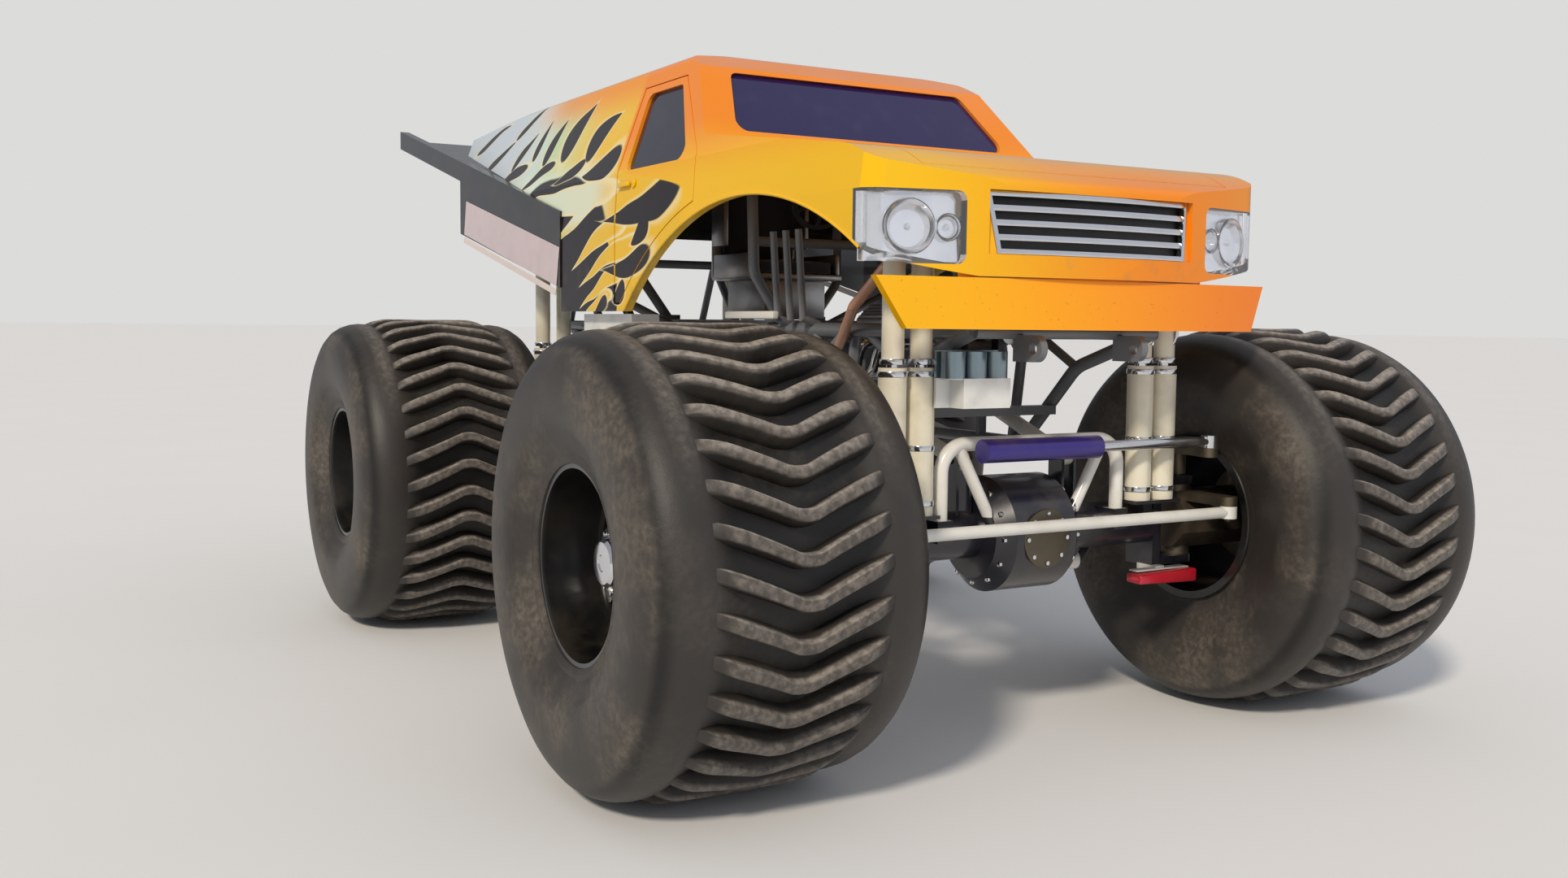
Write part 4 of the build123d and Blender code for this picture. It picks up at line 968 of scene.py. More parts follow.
def spun(profile: Sequence[tuple[float, float]], steps: int) -> bmesh.types.BMesh:
    """Turns a closed profile about the Y axis.

    Args:
        profile: Places along the axis and their radii.
        steps: Sides of the turned form.

    Returns:
        The turned shell, with its faces outwards.
    """
    mesh = bmesh.new()
    verts = [mesh.verts.new((0.0, y, radius)) for y, radius in profile]
    edges = [mesh.edges.new(pair) for pair in zip(verts, verts[1:] + verts[:1])]
    bmesh.ops.spin(
        mesh,
        geom=verts + edges,
        cent=(0.0, 0.0, 0.0),
        axis=(0.0, 1.0, 0.0),
        angle=math.tau,
        steps=steps,
        use_merge=True,
    )
    bmesh.ops.remove_doubles(mesh, verts=mesh.verts, dist=1e-5)
    bmesh.ops.recalc_face_normals(mesh, faces=mesh.faces)
    return mesh


def add_copy(
    target: bmesh.types.BMesh, source: bmesh.types.BMesh, place: Matrix, finish: int = 0
) -> None:
    """Adds a placed copy of one mesh to another, all in one finish.

    Args:
        target: The mesh that grows.
        source: The mesh that is copied, and kept.
        place: Where the copy goes. It may mirror it.
        finish: The number of the copy's finish.
    """
    data = bpy.data.meshes.new("part_copy")
    source.to_mesh(data)
    data.transform(place)
    if place.determinant() < 0:
        data.flip_normals()
    start = len(target.faces)
    target.from_mesh(data)
    bpy.data.meshes.remove(data)
    target.faces.ensure_lookup_table()
    for index in range(start, len(target.faces)):
        target.faces[index].material_index = finish


def merge(
    target: bmesh.types.BMesh, source: bmesh.types.BMesh, place: Matrix | None = None, finish: int = 0
) -> None:
    """Adds a mesh to another once and frees it."""
    add_copy(target, source, place or Matrix.Identity(4), finish)
    source.free()


def around(count: int, shift: float = 0.0) -> list[Matrix]:
    """Even turns about the Y axis, the first one shifted by a share of a step."""
    return [Matrix.Rotation((number + shift) * math.tau / count, 4, "Y") for number in range(count)]


def bevelled_box(size: Sequence[float], bevel: float, segments: int = 2) -> bmesh.types.BMesh:
    """A box about the origin with its edges rounded.

    Args:
        size: Its length, width and height.
        bevel: The rounding of its edges.
        segments: How many steps the rounding has.

    Returns:
        The box.
    """
    mesh = bmesh.new()
    bmesh.ops.create_cube(mesh, size=1.0, matrix=Matrix.Diagonal((*size, 1.0)))
    bmesh.ops.bevel(
        mesh,
        geom=mesh.edges,
        offset=bevel,
        segments=segments,
        profile=0.5,
        affect="EDGES",
        material=-1,
    )
    return mesh


def long_edges(mesh: bmesh.types.BMesh) -> list[bmesh.types.BMEdge]:
    """The edges that run the length of a box whose long side is along Y."""
    return [edge for edge in mesh.edges if abs(edge.verts[0].co.y - edge.verts[1].co.y) > 0.5]


@dataclass(frozen=True)
class Disc:
    """A short round bar along Y about the origin, with its rims rounded."""

    radius: float
    length: float
    sides: int
    bevel: float

    def mesh(self) -> bmesh.types.BMesh:
        """Makes the bar.

        Returns:
            The bar.
        """
        mesh = bmesh.new()
        bmesh.ops.create_cone(
            mesh,
            cap_ends=True,
            segments=self.sides,
            radius1=self.radius,
            radius2=self.radius,
            depth=self.length,
            matrix=Matrix.Rotation(QUARTER_TURN, 4, "X"),
        )
        rims = [edge for edge in mesh.edges if abs(edge.verts[0].co.y - edge.verts[1].co.y) < 1e-6]
        bmesh.ops.bevel(
            mesh, geom=rims, offset=self.bevel, segments=2, profile=0.5, affect="EDGES", material=-1
        )
        return mesh


def tube(
    points: Sequence[Sequence[float]], radius: float, sides: int = 14, rounds: int = 3
) -> bmesh.types.BMesh:
    """A round tube along a path whose corners are eased.

    Args:
        points: The path's corners.
        radius: The tube's outer radius.
        sides: Sides of its section.
        rounds: How many times each corner is cut.

    Returns:
        The tube with closed ends.
    """
    path = [Vector(point) for point in points]
    for _ in range(rounds):
        eased = [path[0]]
        for before, after in zip(path, path[1:]):
            eased += [before.lerp(after, 0.25), before.lerp(after, 0.75)]
        path = eased + [path[-1]]
    mesh = bmesh.new()
    rings: list[list[bmesh.types.BMVert]] = []
    for index, point in enumerate(path):
        ahead = (path[min(index + 1, len(path) - 1)] - path[max(index - 1, 0)]).normalized()
        place = Matrix.Translation(point) @ ahead.to_track_quat("Z", "Y").to_matrix().to_4x4()
        made = bmesh.ops.create_circle(mesh, cap_ends=False, segments=sides, radius=radius, matrix=place)
        rings.append(made["verts"])
    for before, after in zip(rings, rings[1:]):
        edges = [
            edge
            for ring in (before, after)
            for vert in ring
            for edge in vert.link_edges
            if edge.other_vert(vert) in ring
        ]
        bmesh.ops.bridge_loops(mesh, edges=list(dict.fromkeys(edges)))
    for ring in (rings[0], rings[-1]):
        mesh.faces.new(ring)
    bmesh.ops.recalc_face_normals(mesh, faces=mesh.faces)
    return mesh


@dataclass(frozen=True)
class Box:
    """A rounded box: its size, its middle, the rounding of its edges and the number of its finish."""

    size: Place
    middle: Place = (0.0, 0.0, 0.0)
    rounding: float = 0.006
    segments: int = 2
    finish: int = 0

    def add(self, mesh: bmesh.types.BMesh, place: Matrix | None = None, side: int = 1) -> None:
        """Adds the box to a mesh.

        Args:
            mesh: What it is added to.
            place: Where its own origin goes, and how it leans.
            side: 1 for the truck's left, as the middle is given, or -1 for its right.
        """
        x, y, z = self.middle
        here = Matrix.Translation((x, side * y, z))
        shape = bevelled_box(self.size, self.rounding, self.segments)
        merge(mesh, shape, place @ here if place else here, self.finish)


@dataclass
class Tyre:
    """A tall bias-ply tyre: a spun carcass whose narrow bars meet in a V and fade into the shoulder."""

    radius: float = 0.838
    base_radius: float = 0.768
    steps: int = 108
    bars: int = 37
    bar_half: float = 0.335
    bar_width: float = 0.042
    bar_gap: float = 0.001
    bar_depth: float = 0.025
    bar_bevel: float = 0.16
    root_flare: float = 1.7
    end_flare: float = 0.25
    sweep: float = 0.138
    sweep_ease: float = 0.16
    sweep_lead: float = 0.6
    apex_round: float = 0.012
    apex_half: float = 0.02
    shoulder: float = 0.215
    shoulder_drop: float = 0.040
    cuts: int = 26
    rod_reach: float = 0.436
    rod_slope: float = 0.4
    rod_radius: float = 0.375
    half: Profile = (
        (0.440, 0.346),
        (0.462, 0.352),
        (0.474, 0.372),
        (0.470, 0.392),
        (0.492, 0.425),
        (0.508, 0.470),
        (0.514, 0.476),
        (0.516, 0.490),
        (0.520, 0.496),
        (0.527, 0.550),
        (0.5295, 0.610),
        (0.526, 0.660),
        (0.516, 0.705),
        (0.500, 0.742),
        (0.476, 0.771),
        (0.444, 0.792),
        (0.405, 0.805),
        (0.368, 0.810),
        (0.335, 0.808),
        (0.305, 0.799),
        (0.275, 0.786),
        (0.240, 0.775),
        (0.190, 0.768),
    )

    def inner_limit(self, radius: float) -> float:
        """How far the inner sidewall may stand out, so that it clears the ram's rod at full lock."""
        return self.rod_reach + self.rod_slope * max(0.0, radius - self.rod_radius)

    def carcass(self) -> bmesh.types.BMesh:
        """The casing from bead to bead, with its rim guard, sidewall step and broad round shoulder."""
        inner = [(-min(y, self.inner_limit(radius)), radius) for y, radius in reversed(self.half)]
        return spun([*self.half, *inner], self.steps)

    def crest(self, side: float) -> float:
        """The bar's outer radius at a place from the tyre's middle."""
        past = max(0.0, abs(side) - self.shoulder) / (self.bar_half - self.shoulder)
        return self.radius - self.bar_gap - self.shoulder_drop * past**2.0

    def bar(self) -> bmesh.types.BMesh:
        """One bar from shoulder to shoulder on the wheel's top, its apex towards the front.

        Returns:
            The bar.
        """
        mesh = bmesh.new()
        bmesh.ops.create_cube(mesh, size=1.0, matrix=Matrix.Diagonal((1.0, 2.0, 1.0, 1.0)))
        crests = [edge for edge in long_edges(mesh) if edge.verts[0].co.z > 0]
        bmesh.ops.bevel(
            mesh,
            geom=crests,
            offset=self.bar_bevel,
            segments=3,
            profile=0.5,
            affect="EDGES",
            material=-1,
        )
        bmesh.ops.subdivide_edges(mesh, edges=long_edges(mesh), cuts=self.cuts, use_grid_fill=True)
        root = self.base_radius - self.bar_depth
        for vert in mesh.verts:
            across, along, height = vert.co
            side = along * self.bar_half
            share = height + 0.5
            end = min(1.0, abs(side) / self.bar_half)
            flare = (self.root_flare - 1.0) * (1.0 - share) + self.end_flare * end
            radius = root + (self.crest(side) - root) * share
            bend = self.sweep * (end - self.sweep_ease * end * end) / (1.0 - self.sweep_ease)
            rounding = self.apex_round * math.exp(-((side / self.apex_half) ** 2))
            width = self.bar_width * (1.0 + flare)
            angle = (across * width - bend + self.sweep_lead * self.sweep - rounding) / self.radius
            vert.co = (radius * math.sin(angle), side, radius * math.cos(angle))
        bmesh.ops.recalc_face_normals(mesh, faces=mesh.faces)
        return mesh

    def build(self) -> bmesh.types.BMesh:
        """The whole tyre about the wheel's own centre, with its outer side towards positive Y.

        Returns:
            The tyre.
        """
        tyre = self.carcass()
        bar = self.bar()
        for turn in around(self.bars):
            add_copy(tyre, bar, turn)
        bar.free()
        return tyre


@dataclass
class Rim:
    """A deep welded rim with a dished centre and a ring of openings."""

    outer: float = 0.345
    lip: float = 0.365
    half_width: float = 0.457
    wall: float = 0.016
    disc_y: float = 0.227
    bands: tuple[Span, ...] = ((0.140, 0.196), (0.282, 0.322))
    spoke: Box = Box((0.052, 0.022, 0.112), (0.0, 0.227, 0.240))
    openings: int = 10
    steps: int = 96

    def barrel(self) -> bmesh.types.BMesh:
        """The rim's tube with its two lips, and the step that the centre is welded to.

        Returns:
            The tube.
        """
        inner = self.outer - self.wall
        return spun(
            (
                (self.half_width, self.lip - 0.004),
                (self.half_width - 0.006, self.lip),
                (self.half_width - 0.014, self.lip - 0.006),
                (self.half_width - 0.016, self.outer),
                (-self.half_width + 0.016, self.outer),
                (-self.half_width + 0.014, self.lip - 0.006),
                (-self.half_width + 0.006, self.lip),
                (-self.half_width, self.lip - 0.004),
                (-self.half_width, inner),
                (self.disc_y - 0.03, inner),
                (self.disc_y - 0.012, inner - 0.012),
                (self.disc_y + 0.012, inner - 0.012),
                (self.disc_y + 0.05, inner),
                (self.half_width - 0.02, inner + 0.002),
                (self.half_width - 0.004, inner + 0.006),
            ),
            self.steps,
        )

    def band(self, low: float, high: float) -> bmesh.types.BMesh:
        """One of the centre's two rings, crowned towards the outside.

        Args:
            low: The ring's inner radius.
            high: The ring's outer radius.

        Returns:
            The ring.
        """
        return spun(
            (
                (self.disc_y - 0.012, low),
                (self.disc_y + 0.010, low),
                (self.disc_y + 0.014, (low + high) / 2),
                (self.disc_y + 0.010, high),
                (self.disc_y - 0.012, high),
            ),
            self.steps,
        )

    def build(self) -> bmesh.types.BMesh:
        """The rim about the wheel's own centre, with its outer side towards positive Y.

        Returns:
            The rim.
        """
        rim = self.barrel()
        for low, high in self.bands:
            merge(rim, self.band(low, high))
        for turn in around(self.openings, 0.5):
            self.spoke.add(rim, turn)
        return rim


@dataclass
class Hub:
    """A planetary hub: drum, bolted flange, cover with its ring of screws, and the brake disc behind."""

    steps: int = 64
    bolt: Disc = Disc(0.013, 0.016, 6, 0.0015)
    stud: Disc = Disc(0.007, 0.030, 12, 0.001)
    screw: Disc = Disc(0.008, 0.012, 12, 0.001)
    bolts: int = 10
    bolt_circle: float = 0.166
    bolt_y: float = 0.247
    stud_y: float = 0.256
    screws: int = 12
    screw_circle: float = 0.108
    screw_y: float = 0.322
    shell: Profile = (
        (-0.070, 0.0625),
        (-0.070, 0.138),
        (0.180, 0.138),
        (0.186, 0.142),
        (0.189, 0.181),
        (0.193, 0.185),
        (0.211, 0.185),
        (0.215, 0.181),
        (0.215, 0.144),
        (0.240, 0.138),
        (0.296, 0.138),
        (0.312, 0.130),
        (0.318, 0.118),
        (0.318, 0.092),
        (0.324, 0.086),
        (0.346, 0.084),
        (0.357, 0.074),
        (0.360, 0.058),
        (0.360, 0.030),
        (0.356, 0.026),
        (0.356, 0.001),
        (0.151, 0.001),
        (0.151, 0.0625),
    )
    disc: Profile = (
        (-0.070, 0.120),
        (-0.070, 0.2145),
        (-0.0695, 0.215),
        (-0.0485, 0.215),
        (-0.048, 0.2145),
        (-0.048, 0.120),
    )

    def build(self) -> bmesh.types.BMesh:
        """The hub about the wheel's own centre, with its outer side towards positive Y.

        Returns:
            The hub, whose brake disc has the second finish.
        """
        hub = spun(self.shell, self.steps)
        merge(hub, spun(self.disc, self.steps), finish=1)
        bolt, stud, screw = self.bolt.mesh(), self.stud.mesh(), self.screw.mesh()
        for turn in around(self.bolts):
            add_copy(hub, bolt, turn @ Matrix.Translation((0.0, self.bolt_y, self.bolt_circle)))
            add_copy(hub, stud, turn @ Matrix.Translation((0.0, self.stud_y, self.bolt_circle)))
        for turn in around(self.screws):
            add_copy(hub, screw, turn @ Matrix.Translation((0.0, self.screw_y, self.screw_circle)))
        for part in (bolt, stud, screw):
            part.free()
        return hub


@dataclass
class Wheels:
    """The four wheels, each with its tyre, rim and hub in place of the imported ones."""

    finishes: Finishes
    tyre: Tyre = field(default_factory=Tyre)
    rim: Rim = field(default_factory=Rim)
    hub: Hub = field(default_factory=Hub)

    def place(self, corner: Corner) -> Matrix:
        """Where a wheel's own frame sits, with its outer side away from the truck.

        Args:
            corner: Which wheel it is.

        Returns:
            The place, mirrored where the wheel's sides ask for it.
        """
        low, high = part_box(f"tyre_{corner.value}")
        turn = Matrix.Identity(4)
        if corner in (Corner.FRONT_RIGHT, Corner.REAR_RIGHT):
            turn = Matrix.Scale(-1, 4, (0, 1, 0))
        if corner in (Corner.REAR_LEFT, Corner.REAR_RIGHT):
            turn = Matrix.Scale(-1, 4, (1, 0, 0)) @ turn
        return Matrix.Translation((low + high) / 2) @ turn

    def build(self) -> None:
        """Makes each wheel from one set of meshes."""
        kit = self.finishes
        parts = (
            ("tyre", self.tyre.build(), [kit.rubber], 40.0),
            ("rim", self.rim.build(), [kit.rim], 35.0),
            ("hub", self.hub.build(), [kit.chrome, kit.cast], 30.0),
        )
        for corner in Corner:
            place = self.place(corner)
            for node, source, materials, smooth in parts:
                mesh = source.copy()
                bmesh.ops.transform(mesh, matrix=place, verts=mesh.verts)
                if place.determinant() < 0:
                    bmesh.ops.reverse_faces(mesh, faces=mesh.faces)
                name = f"{node}_dress_{corner.value}"
                piece = finish_piece(mesh, name, materials, f"wheel_{corner.value}", smooth)
                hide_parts(f"{node}_{corner.value}")
        for _, source, *_ in parts:
            source.free()


@dataclass
class FrameFinishes:
    """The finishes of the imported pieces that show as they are."""

    frame: dict[str, Any]
    finishes: Finishes

    def build(self) -> None:
        """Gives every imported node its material."""
        kit = self.finishes
        chosen = {
            "chassis": kit.tube,
            "cage": kit.tube,
            "tanks": kit.tank,
            "engine": kit.engine,
            "transfer_case": kit.polished,
            "driveshafts": kit.engine,
            "body": kit.flame,
            "hood": kit.flame,
            "door_left": kit.flame,
            "door_right": kit.flame,
            "windscreen": kit.windscreen,
            "quarter_glass": kit.flame,
            "door_glass_left": kit.side_glass,
            "door_glass_right": kit.side_glass,
            "grille": kit.chrome,
            "headlamps": kit.lens,
            "front_bumper": kit.bumper,
            "seat": kit.fabric,
            "steering_wheel": kit.plastic,
            "rear_deck": kit.black,
        }
        for end in ("front", "rear"):
            chosen[f"axle_{end}"] = kit.axle
            chosen[f"tie_rod_{end}"] = kit.white
            chosen[f"ram_rod_{end}"] = kit.chrome
            chosen[f"links_{end}"] = kit.white
            chosen[f"shocks_{end}"] = kit.shock
        for corner in Corner:
            chosen[f"knuckle_{corner.value}"] = kit.cast
            chosen[f"tyre_{corner.value}"] = kit.rubber
            chosen[f"rim_{corner.value}"] = kit.rim
            chosen[f"hub_{corner.value}"] = kit.chrome
        for node, material in chosen.items():
            slots = self.frame["nodes"][node].data.materials
            slots.clear()
            slots.append(material)
        LOG.info("finishes on %d packed pieces", len(chosen))


def nose_x(y: float, z: float) -> float:
    """Where the body's curved nose stands at a place across it and up it.

    Args:
        y: Distance to the truck's left.
        z: Height.

    Returns:
        The skin's place along the truck.
    """
    foot_x, foot_z, lean, half = 2.880, 1.850, 0.030 / 0.350, 0.98
    curve = NOSE_RADIUS - math.sqrt(NOSE_RADIUS**2 - min(abs(y), half) ** 2)
    return foot_x - max(0.0, z - foot_z) * lean - curve


class GrilleFinish(IntEnum):
    """The numbers of the grille's finishes."""

    CHROME = 0
    # The dark sheet behind the bars, painted shade for the openings.
    MESH = 1
    BODY = 2


@dataclass
class Grille:
    """Chromed grille: a surround that narrows downwards, three rounded bars and a dark sheet behind them that
    paints the shade in the openings.

    A front is how far a part stands ahead of the nose's skin.
    """

    finishes: Finishes
    half: float = 0.500
    foot_half: float = 0.462
    low: float = 1.930
    high: float = 2.160
    surround: float = 0.022
    surround_front: float = 0.003
    surround_depth: float = 0.030
    post_middle: float = -0.012
    wedge_size: Place = (0.026, 1.0, 1.0)
    wedge_middle: float = -0.014
    bars: int = 3
    bar_height: float = 0.025
    bar_front: float = -0.003
    bar_depth: float = 0.022
    shade_sheet_front: float = -0.034
    shade_sheet_depth: float = 0.008
    sill_half: float = 0.600
    sill_z: Span = (1.834, 1.872)
    sill_front: float = -0.028
    sill_depth: float = 0.006
    edge_share: float = 0.28
    cuts: int = 20

    def strip(self, halves: Span, heights: Span, front: float, depth: float) -> bmesh.types.BMesh:
        """A bar across the nose that follows its curve.

        Args:
            halves: Half of its width at its foot and at its top.
            heights: Its foot and its top.
            front: How far it stands ahead of the nose's skin.
            depth: Its thickness from front to back.

        Returns:
            The bar.
        """
        low, high = heights
        mesh = bevelled_box((depth, 1.0, high - low), min(depth, high - low) * self.edge_share)
        bmesh.ops.subdivide_edges(mesh, edges=long_edges(mesh), cuts=self.cuts, use_grid_fill=True)
        for vert in mesh.verts:
            z = vert.co.z + (low + high) / 2
            share = (z - low) / (high - low)
            y = vert.co.y * 2 * (halves[0] + (halves[1] - halves[0]) * share)
            vert.co = (nose_x(y, z) + front - depth / 2 + vert.co.x, y, z)
        return mesh

    def half_at(self, z: float) -> float:
        """Half of the opening's width at a height."""
        return self.foot_half + (self.half - self.foot_half) * (z - self.low) / (self.high - self.low)

    def end(self, mesh: bmesh.types.BMesh, side: int) -> None:
        """Adds one end's post, and the painted wedge that fills the opening beside it.

        Args:
            mesh: What they are added to.
            side: 1 for the truck's left, -1 for its right.
        """
        post = bevelled_box((self.surround_depth, self.surround, 1.0), 0.006)
        wedge = bevelled_box(self.wedge_size, 0.002, 1)
        for vert in post.verts:
            z = self.low + (vert.co.z + 0.5) * (self.high - self.low)
            y = side * (self.half_at(z) - self.surround / 2) + vert.co.y
            vert.co = (nose_x(y, z) + self.post_middle + vert.co.x, y, z)
        for vert in wedge.verts:
            z = self.low + (vert.co.z + 0.5) * (self.high - self.low)
            share = 0.5 + side * vert.co.y
            y = side * (self.half_at(z) + (self.half - self.half_at(z)) * share)
            vert.co = (nose_x(y, z) + self.wedge_middle + vert.co.x, y, z)
        merge(mesh, post, finish=GrilleFinish.CHROME)
        merge(mesh, wedge, finish=GrilleFinish.BODY)

    def build(self) -> None:
        """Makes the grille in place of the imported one, and the painted sill between nose and bumper."""
        mesh = bmesh.new()
        edge = self.surround
        # Painted shade: a dark sheet behind the bars darkens the openings between them.
        back = self.strip((self.half, self.half), (self.low, self.high), self.shade_sheet_front, self.shade_sheet_depth)
        merge(mesh, back, finish=GrilleFinish.MESH)
        for low, high in ((self.low, self.low + edge), (self.high - edge, self.high)):
            halves = (self.half_at(low), self.half_at(high))
            merge(mesh, self.strip(halves, (low, high), self.surround_front, self.surround_depth))
        inside = self.high - self.low - 2 * edge
        gap = (inside - self.bars * self.bar_height) / (self.bars + 1)
        for number in range(self.bars):
            low = self.low + edge + gap + number * (gap + self.bar_height)
            high = low + self.bar_height
            halves = (self.half_at(low) - edge / 2, self.half_at(high) - edge / 2)
            merge(mesh, self.strip(halves, (low, high), self.bar_front, self.bar_depth))
        for side in SIDES:
            self.end(mesh, side)
        kit = self.finishes
        sill = self.strip((self.sill_half, self.sill_half), self.sill_z, self.sill_front, self.sill_depth)
        finish_piece(sill, "nose_filler", [kit.bumper], "chassis")
        piece = finish_piece(mesh, "grille_dress", [kit.chrome, kit.plastic, kit.flame], "chassis")
        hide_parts("grille")


@dataclass
class Lamps:
    """Silver headlamp housings behind their clear lenses, each with a large and a small reflector bowl."""

    finishes: Finishes
    inner: float = 0.598
    outer: float = 0.945
    low: float = 1.897
    high: float = 2.143
    back_x: float = 2.664
    mask_depth: float = 0.050
    mask_wall: float = 0.006
    mask_turn: float = 0.9
    mask_cuts: int = 24
    bend_y: float = 0.880
    shelf_size: Place = (0.078, 0.257, 0.004)
    shelf_x: float = 2.722
    shelf_y: float = 0.7315
    shelf_inset: float = 0.002
    bowls: tuple[Span, ...] = ((0.795, 0.092), (0.648, 0.042))
    bowl_z: float = 2.020
    bowl_depth: float = 0.055
    bowl_rim: float = 0.004
    bowl_rings: int = 8
    bowl_sides: int = 48
    bulb: Profile = (
        (0.0, 0.001),
        (0.0, 0.013),
        (0.030, 0.013),
        (0.038, 0.008),
        (0.041, 0.001),
    )
    bulb_sides: int = 24
    recess: float = 0.014

    def bowl(self, radius: float) -> bmesh.types.BMesh:
        """A round reflector about the origin that opens to the front, with its bulb.

        Args:
            radius: The radius of its mouth.

        Returns:
            The bowl.
        """
        depth, rim, rings = self.bowl_depth, self.bowl_rim, self.bowl_rings
        profile = [(depth * (n / rings) ** 2, radius * n / rings + 0.001) for n in range(rings + 1)]
        profile += [(depth + rim, radius + rim), (depth, radius + 2 * rim), (-rim, radius + 2 * rim)]
        mesh = spun(profile, self.bowl_sides)
        merge(mesh, spun(self.bulb, self.bulb_sides))
        bmesh.ops.transform(mesh, matrix=Matrix.Rotation(-QUARTER_TURN, 4, "Z"), verts=mesh.verts)
        return mesh

    def mask(self, side: int) -> bmesh.types.BMesh:
        """The silver mask that follows the nose and turns back round its corner.

        Args:
            side: 1 for the truck's left, -1 for its right.

        Returns:
            The mask.
        """
        mesh = bevelled_box((self.mask_wall, 1.0, self.high - self.low), self.mask_wall / 4, 1)
        bmesh.ops.subdivide_edges(mesh, edges=long_edges(mesh), cuts=self.mask_cuts, use_grid_fill=True)
        for vert in mesh.verts:
            z = vert.co.z + (self.low + self.high) / 2
            y = (self.inner + self.outer) / 2 + side * vert.co.y * (self.outer - self.inner)
            turned = self.mask_turn * max(0.0, y - self.bend_y)
            x = max(nose_x(y, z) - self.mask_depth - turned, self.back_x)
            vert.co = (x + vert.co.x, side * y, z)
        bmesh.ops.recalc_face_normals(mesh, faces=mesh.faces)
        return mesh

    def build(self) -> None:
        """Makes both housings as one piece."""
        mesh = bmesh.new()
        for side in SIDES:
            merge(mesh, self.mask(side))
            for z in (self.low + self.shelf_inset, self.high - self.shelf_inset):
                Box(self.shelf_size, (self.shelf_x, self.shelf_y, z), 0.001, 1).add(mesh, side=side)
            for y, radius in self.bowls:
                lean = Matrix.Rotation(side * math.asin(y / NOSE_RADIUS), 4, "Z")
                out = lean @ Vector((self.bowl_depth + self.bowl_rim + self.recess, 0.0, 0.0))
                skin = Vector((nose_x(y, self.bowl_z), side * y, self.bowl_z))
                merge(mesh, self.bowl(radius), Matrix.Translation(skin - out) @ lean)
        piece = finish_piece(mesh, "lamp_reflectors", [self.finishes.reflector], "chassis", 30.0)


class EngineFinish(IntEnum):
    """The numbers of the engine's finishes."""

    ENAMEL = 0
    POLISHED = 1
    CHROME = 2
    PLASTIC = 3


